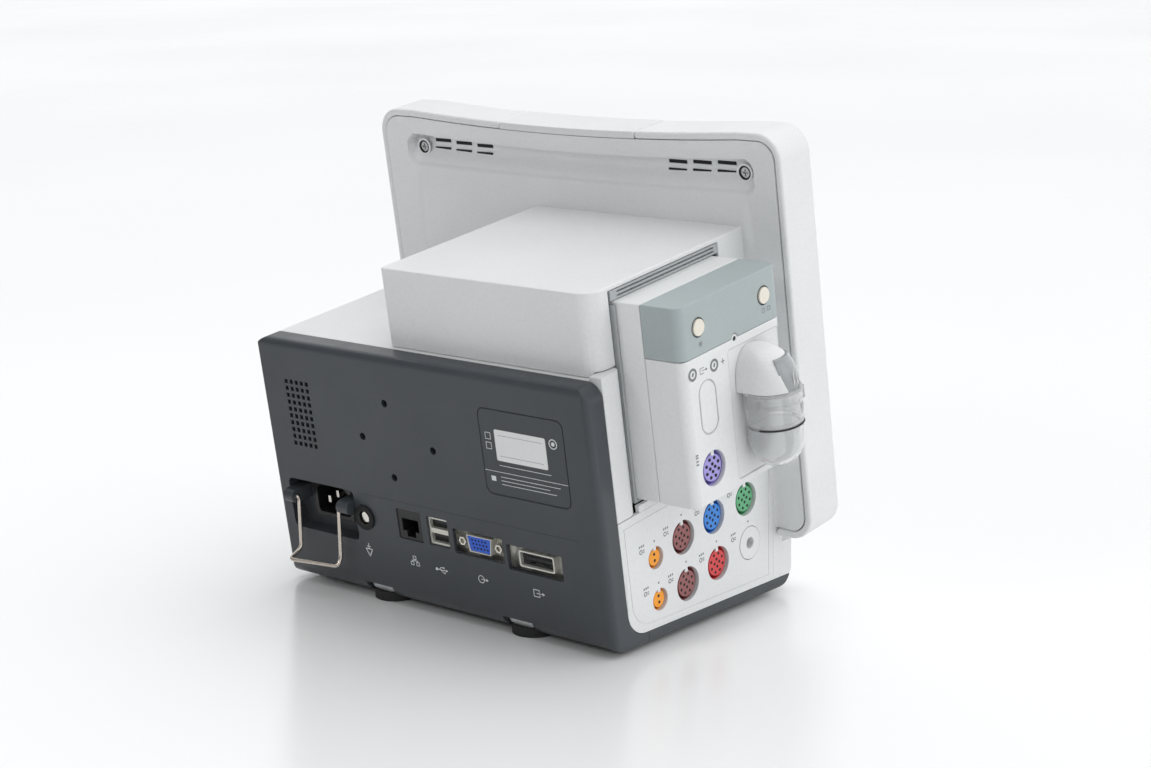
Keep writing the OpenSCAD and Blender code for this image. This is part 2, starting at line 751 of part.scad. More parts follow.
// Sheet-metal frame that carries the power supply and the battery
module chassis() color("#b4b8b8") {
    standing_block([frame_u, 30], [frame_u + sheet, 136, 131]);
    for (t = [supply_t, door_t[0]])
        block([frame_u, 30, t - sheet], [body_w - wall - 1, 136, t]);
}

// ---------- module bay ----------

module bay_frame() color("#c9cccc") difference() {
    block([wall + skin, bay_w0, bay_t0], [bay_deep + bay_wall, bay_w1, rail_t - 7]);
    block([-10, bay_w0 + bay_wall, bay_t0 + bay_wall], [bay_deep, bay_w1 - bay_wall, rail_t]);
    // window for the module's plug
    block([bay_deep - 1, 60, module_t0 + 18], [bay_deep + bay_wall + 1, 86, module_t0 + 38]);
}

module bay_rail() color("#bfc3c3") difference() {
    block([upper_u - 0.2, slot_w0 + 1, rail_low], [upper_u + 10, slot_w1 - 1, rail_t]);
    for (t = [rail_t - 1.9, rail_low + 1.1])
        block([0, slot_w0 + 6, t], [upper_u + 1.4, slot_w1 - 4, t + 0.9]);
}

// ---------- gas module ----------

front_deep = 23.2;                     // depth of the band and the front piece
module_t1 = module_t0 + module_h;
module_w1 = module_w0 + module_w;
tint_t = module_t1 - tint_h;
nose_u = -module_out;                  // plane of the module's front
split_u = nose_u + front_deep;
skin_m = 1.8;                          // wall of the module's shells
nose_r = 5;

// Plan outline of the module in (u, -w), rounded at its two front edges
module module_plan(o, r) {
    difference() {
        translate([nose_u + o, -module_w1 + o])
            square([front_deep - seam - o, module_w - 2 * o]);
        corner_waste([nose_u + o, -module_w1 + o], 0, 90, r);
        corner_waste([nose_u + o, -module_w0 - o], 270, 360, r);
    }
}

module module_shell() color("#e4e6e6") difference() {
    block([split_u, module_w0, module_t0], [module_in, module_w1, module_t1]);
    block([split_u - 1, module_w0 + skin_m, module_t0 + skin_m],
        [module_in - skin_m, module_w1 - skin_m, module_t1 - skin_m]);
    block([module_in - 5, 64, module_t0 + 22], [module_in + 1, 82, module_t0 + 34]);
}

key_w = [46.6, module_w1 - 12.9];
key_t = module_t1 - 13;
key_d = 8.4;
key_travel = 0.8;
pin_hole_at = [74, tint_t - 0.3];

module key_hole(w) {
    from_side(nose_u - 1, w, key_t, skin_m + 2) circle(d = key_d + 2 * run, $fn = 64);
}

module module_band() color("#a3b1b1") difference() {
    at(0, 0, tint_t + skin) linear_extrude(tint_h - skin) module_plan(0, nose_r);
    at(0, 0, tint_t - 1) linear_extrude(tint_h + 1 - skin_m)
        module_inner_plan();
    for (w = key_w) key_hole(w);
    from_side(nose_u - 1, pin_hole_at[0], pin_hole_at[1], 8) circle(d = 5.2, $fn = 48);
}

// Inside of the band and front shells, open towards the rear part
module module_inner_plan() {
    translate([nose_u + skin_m, -module_w1 + skin_m])
        square([front_deep + 1, module_w - 2 * skin_m]);
}

trap_w = module_w1 - 26.3; // axis of the water trap
trap_u = nose_u - 10.5;
dock_w = [trap_w - 19, trap_w + 23.3];
dock_t = [module_t0 + 3.5, tint_t - 4.5];

module module_front() color("#e9ebeb") difference() {
    union() {
        difference() {
            at(0, 0, module_t0) linear_extrude(tint_t - module_t0 - skin) module_plan(0, nose_r);
            at(0, 0, module_t0 + skin_m) linear_extrude(tint_t - module_t0) module_inner_plan();
        }
        // pin-hole collar that rises into the band
        from_side(nose_u, pin_hole_at[0], pin_hole_at[1], skin_m) circle(d = 4.6, $fn = 48);
        // socket boss
        from_side(nose_u + skin_m - 0.5, agas_at[0], agas_at[1], 1.5) circle(d = socket_d + 6, $fn = 64);
    }
    from_side(nose_u - 1, agas_at[0], agas_at[1], 8) circle(d = socket_d, $fn = 96);
    from_side(nose_u - 1, pin_hole_at[0], pin_hole_at[1], 8) circle(d = 2.4, $fn = 32);
    // shallow plate that the trap docks on
    from_side(nose_u - 1, (dock_w[0] + dock_w[1]) / 2, (dock_t[0] + dock_t[1]) / 2, 1.6)
        round_rect(dock_w[1] - dock_w[0], dock_t[1] - dock_t[0], 1.5);
    // two dock ports for the trap's nipples
    for (t = port_t) from_side(nose_u - 1, trap_w, t, 9) circle(r = port_r + 0.3, $fn = 48);
    // oval window outline
    from_side(nose_u - 1, 49, module_t0 + 48, 1.35) difference() {
        round_rect(13.4, 27.4, 6.6);
        round_rect(12.6, 26.6, 6.2);
    }
}

key_flange_m = 1.4;

module module_key(w) {
    flange = nose_u + skin_m + run;
    from_side(nose_u - 0.9, w, key_t, flange - nose_u + 0.9 + key_flange_m) circle(d = key_d, $fn = 64);
    from_side(flange, w, key_t, key_flange_m) circle(d = key_d + 3, $fn = 64);
}

module module_key_a() color("#efe3d0") module_key(key_w[0]);
module module_key_b() color("#efe3d0") module_key(key_w[1]);

agas_at = [48.8, module_t0 + 16.4];
module module_socket() color("#a99fe0")
    socket(agas_at[0], agas_at[1], socket_d, island_d, twelve, nose_u - wall + skin_m + 1.0);

// Board on edge behind the keys, a main board and a card with the rear plug
module module_board() color("#1f6b45") {
    board_t = module_t0 + 46;
    switch_u = nose_u + skin_m + key_flange_m + 2 * run + 2 * key_travel;
    side = skin_m + 0.2;
    block([switch_u, module_w0 + side, board_t], [switch_u + 1.6, module_w1 - side, key_t + 5]);
    block([switch_u, module_w0 + side, board_t], [module_in - 8, module_w1 - side, board_t + 1.6]);
    block([module_in - 9.6, 60, module_t0 + 18], [module_in - 8, 90, board_t + 1.6]);
    block([module_in - 9, 65, module_t0 + 23], [module_in + 3, 81, module_t0 + 33]);
}

// ---------- water trap ----------

trap_t0 = module_t0 + 6.5; // bottom of the bowl
ring_t = trap_t0 + 22;     // seal
body_t1 = trap_t0 + 41;    // top of the clear body
cap_t1 = trap_t0 + 62.5;
port_r = 2.6;
port_t = [trap_t0 + 28.5, trap_t0 + 36.5];
trap_r = trap_d / 2;
dock_skin = 0.6;           // face of the dock plate behind the module's front plane
trap_back = nose_u + dock_skin - 0.2;

// Outline of the trap seen from above: round outside, cut flat towards the module
module trap_plan(r, o) {
    intersection() {
        circle(r, $fn = 96);
        translate([-2 * r, -r]) square([2 * r + trap_back - trap_u - o, 2 * r]);
    }
}

dome_h = 8;
dome_r = (trap_r * trap_r + dome_h * dome_h) / (2 * dome_h);

module trap_cap() color("#ececec") difference() {
    intersection() {
        at(trap_u, trap_w, body_t1 + skin) linear_extrude(cap_t1 - body_t1 - skin) trap_plan(trap_r, 0);
        // arched roof
        from_side(trap_u - 30, trap_w, cap_t1 - dome_r, 60) union() {
            circle(dome_r, $fn = 128);
            translate([-dome_r, -60]) square([2 * dome_r, 60]);
        }
    }
    latch_zone(0);
}

module latch_zone(gap) {
    block([trap_u - trap_r - 2, trap_w + 3 + gap, body_t1 - 1],
        [trap_u + 9, trap_w + trap_r + 3, cap_t1 - 3]);
}

module trap_latch() color("#c4c6c6") intersection() {
    union() {
        at(trap_u, trap_w, body_t1 + skin) linear_extrude(cap_t1 - 4 - body_t1) circle(trap_r - 1, $fn = 96);
        block([trap_u - 6, trap_w + 4, cap_t1 - 16], [trap_u + 8, trap_w + trap_r + 1.5, cap_t1 - 5]);
    }
    latch_zone(seam);
}

module trap_body() color("#f2f4f4", 0.4) {
    difference() {
        union() {
            at(trap_u, trap_w, ring_t + 1 + skin) linear_extrude(body_t1 - ring_t - 1 - skin)
                trap_plan(trap_r, 0);
            // finger tab on the far side
            block([trap_u - 2, trap_w + trap_r - 1, port_t[0] - 1], [trap_u + 1, trap_w + trap_r + 9.5, port_t[0] + 6]);
        }
        at(trap_u, trap_w, ring_t) linear_extrude(body_t1 - ring_t - 2) trap_plan(trap_r - 1.6, 1.6);
    }
    for (t = port_t)
        from_side(trap_back - 0.3, trap_w, t, 6) circle(r = port_r, $fn = 48);
}

module trap_seal() color("#202224")
    at(trap_u, trap_w, ring_t) linear_extrude(1) difference() {
        trap_plan(trap_r - 0.2, 0.2);
        trap_plan(trap_r - 1.6, 1.6);
    }

module trap_bowl() color("#f2f4f4", 0.4) {
    r = trap_r - 0.4;
    straight = ring_t - skin - trap_t0 - r;
    difference() {
        cup(r, straight, 0);
        cup(r - 1.6, straight + 1, 1.6);
    }
}

// Round-bottomed cup, cut flat towards the module
module cup(r, straight, o) {
    intersection() {
        at(trap_u, trap_w, trap_t0 + trap_r - 0.4) rotate_extrude($fn = 96) bowl_outline(r, straight);
        block([trap_u - 40, trap_w - 40, 0], [trap_back - o, trap_w + 40, 200]);
    }
}

// Half section of a round-bottomed cup
module bowl_outline(r, straight) {
    square([r, straight]);
    intersection() {
        circle(r, $fn = 96);
        translate([0, -r]) square(r);
    }
}

// ---------- display ----------

display_t0 = 11.5;
display_w = body_w + 2 * display_over;
display_h = body_h + upper_h + display_rise - display_t0;
display_w1 = body_d - 5.5;               // rear of the rim
display_w2 = display_w1 + display_d;     // front of the bezel
display_r = 14;
rim = 4;                                 // rim of the bezel round the back cover
mid_t = display_t0 + display_h / 2;
back_w = body_d + 0.2;                   // face of the back cover behind the body
pocket_gap = 0.4;                        // between the back cover and the body
brow_t = body_h + upper_h + 14;
grip_t = [brow_t + 2.4, brow_t + 21];
grip_half = display_w / 2 - 18.5;
screw_x = display_w / 2 - 27.1;
screw_t = brow_t + 13;
vent_t = brow_t + 11.6;
display_dip = 4;
dip_r = (screw_x * screw_x + display_dip * display_dip) / (2 * display_dip);
vent_pitch = 16;

// Outline of the display head, a little lower in the middle of its top edge, set in by o
module head_outline(o) difference() {
    round_rect(display_w - 2 * o, display_h - 2 * o, display_r - o);
    translate([0, display_h / 2 + dip_r - display_dip]) circle(dip_r + o, $fn = 720);
}

// Outline of the body and the raised housing, open at the bottom, widened by o
module pocket_outline(o) {
    reach = pocket_gap + o;
    translate([-body_w / 2 - reach, -60]) square([body_w + 2 * reach, 60 + body_h + reach]);
    translate([upper_u - body_w / 2 - reach, -60]) square([upper_w + 2 * reach, 60 + body_h + upper_h + reach]);
}

// Room that the body stands in
module body_pocket() {
    from_rear(body_w / 2, display_w1 - 1, 0, back_w - display_w1 + 1) pocket_outline(0);
}

module display_back() color("#d9dbdb") difference() {
    union() {
        from_rear(body_w / 2, display_w1 + 0.5, mid_t, back_w - display_w1 + 2.5) head_outline(rim + seam);
        // floor of the finger recess
        from_rear(body_w / 2, back_w, (grip_t[0] + grip_t[1]) / 2, 5.5)
            round_rect(2 * grip_half + 2 * wall, grip_t[1] - grip_t[0] + 2 * wall, 7 + wall);
    }
    // hollow behind the rim
    from_rear(body_w / 2, display_w1 + 0.5 + wall, mid_t, 20) difference() {
        head_outline(rim + seam + wall);
        translate([0, -mid_t]) pocket_outline(wall);
        translate([0, (grip_t[0] + grip_t[1]) / 2 - mid_t])
            round_rect(2 * grip_half + 2 * wall, grip_t[1] - grip_t[0] + 2 * wall, 7 + wall);
    }
    body_pocket();
    // finger recess along the top
    from_rear(body_w / 2, display_w1 - 1, (grip_t[0] + grip_t[1]) / 2, back_w - display_w1 + 4)
        round_rect(2 * grip_half, grip_t[1] - grip_t[0], 7);
    for (s = [-1, 1], row = [0, 1], i = [0 : 2])
        from_rear(body_w / 2 + s * (screw_x - 13 - i * vent_pitch), back_w, vent_t + 4.6 * row, 12)
            square([12, 1.8], center = true);
    for (s = [-1, 1])
        from_rear(body_w / 2 + s * screw_x, display_w1, screw_t, 30) circle(d = 3.3, $fn = 48);
}

module display_screws() color("#9a9c9c")
    for (s = [-1, 1]) difference() {
        union() {
            from_rear(body_w / 2 + s * screw_x, back_w + 0.8, screw_t, 2.1) circle(d = 6, $fn = 48);
            from_rear(body_w / 2 + s * screw_x, back_w + 2, screw_t, 5.5) circle(d = 3, $fn = 48);
        }
        for (turn = [0, 90])
            from_rear(body_w / 2 + s * screw_x, back_w, screw_t, 1.8) rotate(turn) square([3.4, 0.8], center = true);
    }

bezel_face = 3;                          // thickness of the bezel round the picture
key_strip = 33;                          // band of keys under the picture
picture_w = display_w - 2 * picture_side;
picture_h = display_h - key_strip - picture_top;
picture_t = display_t0 + key_strip + picture_h / 2;

module display_bezel() color("#e9ebeb") difference() {
    from_rear(body_w / 2, display_w1, mid_t, display_d) head_outline(0);
    body_pocket();
    // room for the back cover and the works
    from_rear(body_w / 2, display_w1 - 1, mid_t, display_d - bezel_face + 1) head_outline(rim);
    // window
    from_rear(body_w / 2, display_w2 - 5, picture_t, 10) square([picture_w + 4, picture_h + 4], center = true);
    for (k = key_places)
        from_rear(body_w / 2 + k, display_w2 - 5, front_key_t, 10)
            round_rect(front_key_w + 2 * run, front_key_h + 2 * run, 3.2);
    lamp_cut();
}

front_key_t = display_t0 + 15;
front_key_w = 22;
front_key_h = 10;
key_flange = 1.6;
key_x = display_w / 2 - 28.5;
key_places = [-key_x, key_x - 28, key_x];

module front_key(k) {
    flange = display_w2 - bezel_face - run - key_flange;
    from_rear(body_w / 2 + k, flange, front_key_t, key_flange) round_rect(front_key_w + 3, front_key_h + 3, 3);
    from_rear(body_w / 2 + k, flange, front_key_t, key_flange + run + bezel_face + 0.7)
        round_rect(front_key_w, front_key_h, 3);
}

module power_key() color("#d4d6d6") front_key(key_places[0]);
module front_key_a() color("#d4d6d6") front_key(key_places[1]);
module front_key_b() color("#d4d6d6") front_key(key_places[2]);

module lcd_panel() color("#2a2d30")
    from_rear(body_w / 2, display_w2 - bezel_face - skin - 9, picture_t, 9)
        square([picture_w + 8, picture_h + 8], center = true);

module screen_glass() color("#0d1014")
    from_rear(body_w / 2, display_w2 - bezel_face, picture_t, bezel_face - 0.5)
        square([picture_w + 4 - 2 * skin, picture_h + 4 - 2 * skin], center = true);

lamp_w = 95;

// Outline of the middle of the rim's top edge, made narrower and thinner by gap
module lamp_outline(gap) difference() {
    translate([0, display_h / 2]) square([lamp_w - 2 * gap, 4 * rim], center = true);
    head_outline(rim - gap);
}

// The lamp fills a gap in the rim along the top
module lamp_cut() {
    from_rear(body_w / 2, display_w1 - 1, mid_t, display_d + 2) lamp_outline(0);
}

module alarm_lamp() color("#f2f2ee")
    from_rear(body_w / 2, display_w1, mid_t, display_d) intersection() {
        head_outline(0);
        lamp_outline(skin);
    }

base_tray();
rear_cover();
main_housing();
upper_housing();
socket_panel();
side_pillar();
rating_plate();
feet();
chassis();
speaker();
power_inlet();
inlet_pins();
bail_brackets();
cord_bail();
terminal_ring();
terminal_pin();
network_jack();
usb_stack();
usb_tongues();
video_shell();
video_insert();
jackscrews();
io_shell();
io_insert();
io_bracket();
io_board();
temp_sockets();
pressure_sockets();
oxygen_socket();
output_socket();
ecg_socket();
cuff_port();
sensor_board();
cuff_pump();
power_supply();
battery_pack();
battery_door();
bay_frame();
bay_rail();
module_shell();
module_band();
module_front();
module_key_a();
module_key_b();
module_socket();
module_board();
trap_cap();
trap_latch();
trap_body();
trap_seal();
trap_bowl();
display_back();
display_screws();
display_bezel();
lcd_panel();
screen_glass();
alarm_lamp();
power_key();
front_key_a();
front_key_b();
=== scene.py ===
import json
import math

import bpy
from mathutils import Matrix, Vector


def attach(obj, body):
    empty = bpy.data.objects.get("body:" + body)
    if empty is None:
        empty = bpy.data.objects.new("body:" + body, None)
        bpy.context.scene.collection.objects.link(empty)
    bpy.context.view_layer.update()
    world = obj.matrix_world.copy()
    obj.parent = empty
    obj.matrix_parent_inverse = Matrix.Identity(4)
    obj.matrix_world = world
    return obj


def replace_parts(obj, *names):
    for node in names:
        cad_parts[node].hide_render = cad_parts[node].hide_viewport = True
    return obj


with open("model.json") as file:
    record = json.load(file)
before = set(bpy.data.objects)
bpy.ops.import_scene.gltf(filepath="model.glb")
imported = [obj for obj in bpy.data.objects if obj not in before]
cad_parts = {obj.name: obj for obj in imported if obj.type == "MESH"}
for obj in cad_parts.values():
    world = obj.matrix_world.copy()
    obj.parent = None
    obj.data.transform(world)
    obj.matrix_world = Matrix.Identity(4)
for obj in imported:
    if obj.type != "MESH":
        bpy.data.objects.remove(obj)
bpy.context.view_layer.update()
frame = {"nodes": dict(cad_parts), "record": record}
NODES = frame["nodes"]

LEAN = math.radians(8)
COS, SIN = math.cos(LEAN), math.sin(LEAN)
BODY_W = 233.5
REAR_Y = 80  # the foot of the rear face
MM = 0.001
ROOT = "monitor"


def place(u, w, t):
    """World point of a place in the leaning frame."""
    return Vector((u - BODY_W / 2, REAR_Y - w * COS + t * SIN, w * SIN + t * COS)) * MM


UP = Vector((0, SIN, COS))
REAR = Vector((0, COS, -SIN))
SIDE = Vector((-1, 0, 0))


# ---------- materials ----------


def node(tree, kind, **values):
    """A new shader node with its settings."""
    made = tree.nodes.new(kind)
    for key, value in values.items():
        setattr(made, key, value)
    return made


def noise(tree, coords, scale, detail=2.0, rough=0.5):
    """Noise on the given coordinates, as a value."""
    made = node(tree, "ShaderNodeTexNoise")
    made.inputs["Scale"].default_value = scale
    made.inputs["Detail"].default_value = detail
    made.inputs["Roughness"].default_value = rough
    tree.links.new(coords, made.inputs["Vector"])
    return made.outputs["Fac"]


def spread(tree, source, low, high, start=0.3, end=0.7):
    """Maps a value running from start to end onto low to high."""
    made = node(tree, "ShaderNodeMapRange")
    values = {"From Min": start, "From Max": end, "To Min": low, "To Max": high}
    for key, value in values.items():
        made.inputs[key].default_value = value
    tree.links.new(source, made.inputs["Value"])
    return made.outputs["Result"]


TONE_SCALE, GLOSS_SCALE = 14, 45  # how fast tone and gloss change over a surface
SPECK = 0.955  # how dark the specks of the grain are
WORN_GAIN, WORN_LIFT = 1.25, 0.02  # how much paler worn edges are


def scaled(color, gain, lift=0.0):
    """A colour made paler or darker, as a socket value."""
    return (*[min(1, c * gain + lift) for c in color], 1)


def surface(name, color, rough, grain, depth, tone, wear=0.0, **extra):
    """Moulded plastic or metal: fine grain, slow changes of tone, uneven gloss, worn edges."""
    mat = bpy.data.materials.new(name)
    mat.use_nodes = True
    tree = mat.node_tree
    bsdf = tree.nodes["Principled BSDF"]
    coords = node(tree, "ShaderNodeTexCoord").outputs["Object"]

    mix = node(tree, "ShaderNodeMix", data_type="RGBA")
    mix.inputs["A"].default_value = scaled(color, 1 - tone)
    mix.inputs["B"].default_value = scaled(color, 1 + tone)
    tones = noise(tree, coords, TONE_SCALE, 3)
    tree.links.new(spread(tree, tones, 0, 1), mix.inputs["Factor"])
    shade = mix.outputs["Result"]

    speck = node(tree, "ShaderNodeMix", data_type="RGBA", blend_type="MULTIPLY")
    speck.inputs["B"].default_value = (SPECK, SPECK, SPECK, 1)
    specks = noise(tree, coords, grain * 0.5, 2)
    tree.links.new(spread(tree, specks, 0, 1, 0.45, 0.75), speck.inputs["Factor"])
    tree.links.new(shade, speck.inputs["A"])
    shade = speck.outputs["Result"]

    if wear:
        edge = node(tree, "ShaderNodeNewGeometry").outputs["Pointiness"]
        rub = node(tree, "ShaderNodeMix", data_type="RGBA")
        rub.inputs["B"].default_value = scaled(color, WORN_GAIN, WORN_LIFT)
        tree.links.new(spread(tree, edge, 0, wear, 0.53, 0.62), rub.inputs["Factor"])
        tree.links.new(shade, rub.inputs["A"])
        shade = rub.outputs["Result"]
    tree.links.new(shade, bsdf.inputs["Base Color"])

    patches = noise(tree, coords, GLOSS_SCALE, 4, 0.6)
    tree.links.new(spread(tree, patches, rough - 0.05, rough + 0.06), bsdf.inputs["Roughness"])

    bump = node(tree, "ShaderNodeBump")
    bump.inputs["Strength"].default_value = 1.0
    bump.inputs["Distance"].default_value = depth * MM
    tree.links.new(noise(tree, coords, grain, 3, 0.6), bump.inputs["Height"])
    tree.links.new(bump.outputs["Normal"], bsdf.inputs["Normal"])
    for key, value in extra.items():
        bsdf.inputs[key.replace("_", " ")].default_value = value
    return mat


def brushed(name, color, rough, stretch):
    """Metal with fine marks drawn along one direction."""
    mat = surface(name, color, rough, 900, 0.01, 0.06, Metallic=1.0)
    tree = mat.node_tree
    bsdf = tree.nodes["Principled BSDF"]
    coords = node(tree, "ShaderNodeTexCoord").outputs["Object"]
    mapping = node(tree, "ShaderNodeMapping")
    mapping.inputs["Scale"].default_value = stretch
    tree.links.new(coords, mapping.inputs["Vector"])
    marks = noise(tree, mapping.outputs["Vector"], 900, 3)
    tree.links.new(spread(tree, marks, rough - 0.08, rough + 0.14), bsdf.inputs["Roughness"])
    return mat


def sheet_floor(name, color):
    """A smooth studio sheet with a soft, slowly changing sheen."""
    mat = bpy.data.materials.new(name)
    mat.use_nodes = True
    tree = mat.node_tree
    bsdf = tree.nodes["Principled BSDF"]
    coords = node(tree, "ShaderNodeTexCoord").outputs["Object"]
    mix = node(tree, "ShaderNodeMix", data_type="RGBA")
    mix.inputs["A"].default_value = (*color, 1)
    mix.inputs["B"].default_value = scaled(color, 0.985)
    tree.links.new(spread(tree, noise(tree, coords, 0.7, 2), 0, 1), mix.inputs["Factor"])
    tree.links.new(mix.outputs["Result"], bsdf.inputs["Base Color"])
    sheen = noise(tree, coords, 1.3, 2)
    tree.links.new(spread(tree, sheen, 0.2, 0.26), bsdf.inputs["Roughness"])
    return mat


# colour, roughness, grain scale, grain depth in mm, change of tone, wear of the edges
SURFACES = {
    "dark_shell": ((0.05, 0.057, 0.065), 0.38, 1500, 0.016, 0.07, 0.6),
    "white_shell": ((0.79, 0.8, 0.805), 0.42, 1500, 0.014, 0.025),
    "inner_grey": ((0.42, 0.44, 0.45), 0.5, 1200, 0.014, 0.05),
    "tint_shell": ((0.4, 0.455, 0.46), 0.42, 1500, 0.014, 0.04),
    "key_cream": ((0.83, 0.78, 0.68), 0.36, 1500, 0.008, 0.04),
    "key_grey": ((0.56, 0.59, 0.6), 0.4, 1500, 0.01, 0.05),
    "foot_rubber": ((0.016, 0.016, 0.017), 0.72, 900, 0.03, 0.12),
    "plate_film": ((0.046, 0.053, 0.06), 0.33, 1800, 0.006, 0.05),
    "black_plastic": ((0.012, 0.012, 0.013), 0.34, 1200, 0.014, 0.12, 0.3),
    "bail_steel": ((0.72, 0.65, 0.58), 0.27, 600, 0.001, 0.04),
    "port_steel": ((0.74, 0.73, 0.67), 0.34, 900, 0.004, 0.08),
    "video_blue": ((0.03, 0.13, 0.72), 0.36, 1500, 0.01, 0.06),
    "circuit_board": ((0.012, 0.12, 0.05), 0.38, 500, 0.02, 0.25),
    "socket_orange": ((0.95, 0.36, 0.02), 0.4, 1500, 0.01, 0.05),
    "socket_brown": ((0.3, 0.1, 0.1), 0.42, 1500, 0.01, 0.06),
    "socket_blue": ((0.04, 0.24, 0.72), 0.4, 1500, 0.01, 0.06),
    "socket_red": ((0.7, 0.055, 0.06), 0.4, 1500, 0.01, 0.06),
    "socket_green": ((0.13, 0.44, 0.22), 0.42, 1500, 0.01, 0.06),
    "socket_violet": ((0.37, 0.33, 0.72), 0.42, 1500, 0.01, 0.06),
    "battery_case": ((0.03, 0.034, 0.038), 0.46, 1200, 0.02, 0.1, 0.4),
    "speaker_black": ((0.01, 0.01, 0.01), 0.8, 1500, 0.04, 0.2),
    "lcd_module": ((0.03, 0.03, 0.034), 0.4, 900, 0.01, 0.1),
    "screen": ((0.006, 0.008, 0.011), 0.1, 400, 0.001, 0.3),
    "lamp_diffuser": ((0.76, 0.77, 0.77), 0.38, 1200, 0.004, 0.02),
    "trap_white": ((0.79, 0.79, 0.795), 0.33, 1500, 0.006, 0.02),
    "trap_grey": ((0.34, 0.36, 0.37), 0.2, 1200, 0.004, 0.12),
    "clear_plastic": ((0.95, 0.96, 0.965), 0.09, 700, 0.006, 0.02),
    # hole_black is painted shade: dark sheets of it fill holes, slots and recesses
    "hole_black": ((0.004, 0.004, 0.004), 0.7, 900, 0.01, 0.2),
    "print_white": ((0.76, 0.78, 0.79), 0.5, 1500, 0.004, 0.05),
    "print_grey": ((0.2, 0.21, 0.22), 0.5, 1500, 0.004, 0.1),
    # print_dark is print, and also paints the shade along the rear cover's ledge
    "print_dark": ((0.02, 0.024, 0.027), 0.5, 1500, 0.004, 0.1),
    "label_paper": ((0.84, 0.845, 0.85), 0.45, 2200, 0.006, 0.03),
}
# what else sets a surface apart: metal, a gloss coat, clear plastic
EXTRAS = {
    "bail_steel": {"Metallic": 1.0},
    "port_steel": {"Metallic": 0.5},
    "screen": {"Coat_Weight": 1.0},
    "trap_grey": {"Coat_Weight": 0.6},
    "clear_plastic": {"Transmission_Weight": 0.78, "IOR": 1.47},
}
# colour, roughness, and how the marks are stretched along each axis
BRUSHED = {
    "pin_metal": ((0.86, 0.83, 0.77), 0.2, (1, 1, 8)),
    "pump_metal": ((0.6, 0.61, 0.62), 0.36, (1, 0.1, 1)),
    "supply_case": ((0.68, 0.69, 0.7), 0.34, (1, 0.1, 1)),
    "frame_sheet": ((0.66, 0.68, 0.7), 0.36, (1, 0.1, 1)),
    "screw_steel": ((0.5, 0.5, 0.5), 0.3, (1, 1, 1)),
}
MATS = {name: surface(name, *look, **EXTRAS.get(name, {})) for name, look in SURFACES.items()}
MATS.update({name: brushed(name, *look) for name, look in BRUSHED.items()})

for part in frame["record"]["subparts"]:
    shown = NODES[part["node"]]
    shown.data.materials.clear()
    shown.data.materials.append(MATS[part["material_slot"]])


# ---------- softened edges on the CAD shells ----------

# bevel widths in mm; every node not named here gets FINE_EDGE
EDGE = {
    "rear_cover": 0.2, "base_tray": 0.4, "main_housing": 0.03, "upper_housing": 0.9,
    "socket_panel": 0.04, "side_pillar": 0.6, "module_shell": 0.7, "module_band": 0.5,
    "module_front": 0.5, "display_bezel": 1.6, "alarm_lamp": 0.6, "battery_door": 0.4,
    "trap_bowl": 0.3, "trap_body": 0.3, "module_key_a": 0.4, "module_key_b": 0.4,
    "power_key": 0.5, "front_key_a": 0.5, "front_key_b": 0.5, "cuff_port": 0.4, "feet": 0.4,
    "power_inlet": 0.3,
}
FINE_EDGE = 0.12
WIDE_EDGE = 0.3  # wider bevels than this get one more segment
FLAT_WITHIN = math.radians(0.1)
SHARP_FROM = math.radians(38)
WELD_GAP = 0.00001


def plain_normals():
    """Geometry nodes that drop stored normals and shade everything smooth."""
    group = bpy.data.node_groups.new("plain_normals", "GeometryNodeTree")
    group.interface.new_socket("Geometry", in_out="INPUT", socket_type="NodeSocketGeometry")
    group.interface.new_socket("Geometry", in_out="OUTPUT", socket_type="NodeSocketGeometry")
    entry = group.nodes.new("NodeGroupInput")
    leave = group.nodes.new("NodeGroupOutput")
    drop = group.nodes.new("GeometryNodeRemoveAttribute")
    drop.inputs["Name"].default_value = "custom_normal"
    smooth = group.nodes.new("GeometryNodeSetShadeSmooth")
    group.links.new(entry.outputs[0], drop.inputs["Geometry"])
    group.links.new(drop.outputs["Geometry"], smooth.inputs["Geometry"])
    group.links.new(smooth.outputs["Geometry"], leave.inputs[0])
    return group


PLAIN = plain_normals()
for name, shown in NODES.items():
    weld = shown.modifiers.new("weld", "WELD")
    weld.merge_threshold = WELD_GAP
    shown.modifiers.new("normals", "NODES").node_group = PLAIN
    merge = shown.modifiers.new("merge", "DECIMATE")
    merge.decimate_type = "DISSOLVE"
    merge.angle_limit = FLAT_WITHIN
    soft = shown.modifiers.new("soft", "BEVEL")
    width = EDGE.get(name, FINE_EDGE)
    soft.width = width * MM
    soft.segments = 3 if width > WIDE_EDGE else 2
    soft.limit_method = "ANGLE"
    soft.angle_limit = SHARP_FROM
    soft.use_clamp_overlap = False
    soft.face_strength_mode = "FSTR_ALL"
    even = shown.modifiers.new("even", "WEIGHTED_NORMAL")
    even.use_face_influence = True


# ---------- drawing helpers ----------

RAISED, SUNK = 0.06, -0.02  # top and foot of a printed mark against its face


def add(name, verts, faces, material, body=ROOT, smooth=False):
    """One piece from its mesh, riding on its body."""
    mesh = bpy.data.meshes.new(name)
    mesh.from_pydata([tuple(v) for v in verts], [], faces)
    mesh.update()
    made = bpy.data.objects.new(name, mesh)
    bpy.context.scene.collection.objects.link(made)
    mesh.materials.append(MATS[material])
    if smooth:
        for face in mesh.polygons:
            face.use_smooth = True
    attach(made, body)
    return made


class Face:
    """A flat face to draw on: its centre, and right and up as seen from outside."""

    def __init__(self, centre, right, up):
        self.centre, self.right, self.up = centre, right.normalized(), up.normalized()
        self.normal = self.right.cross(self.up)

    def at(self, x, y, lift=0.0):
        return self.centre + (self.right * x + self.up * y + self.normal * lift) * MM


def rear_face(u, t, w=0.0):
    return Face(place(u, w, t), SIDE, UP)


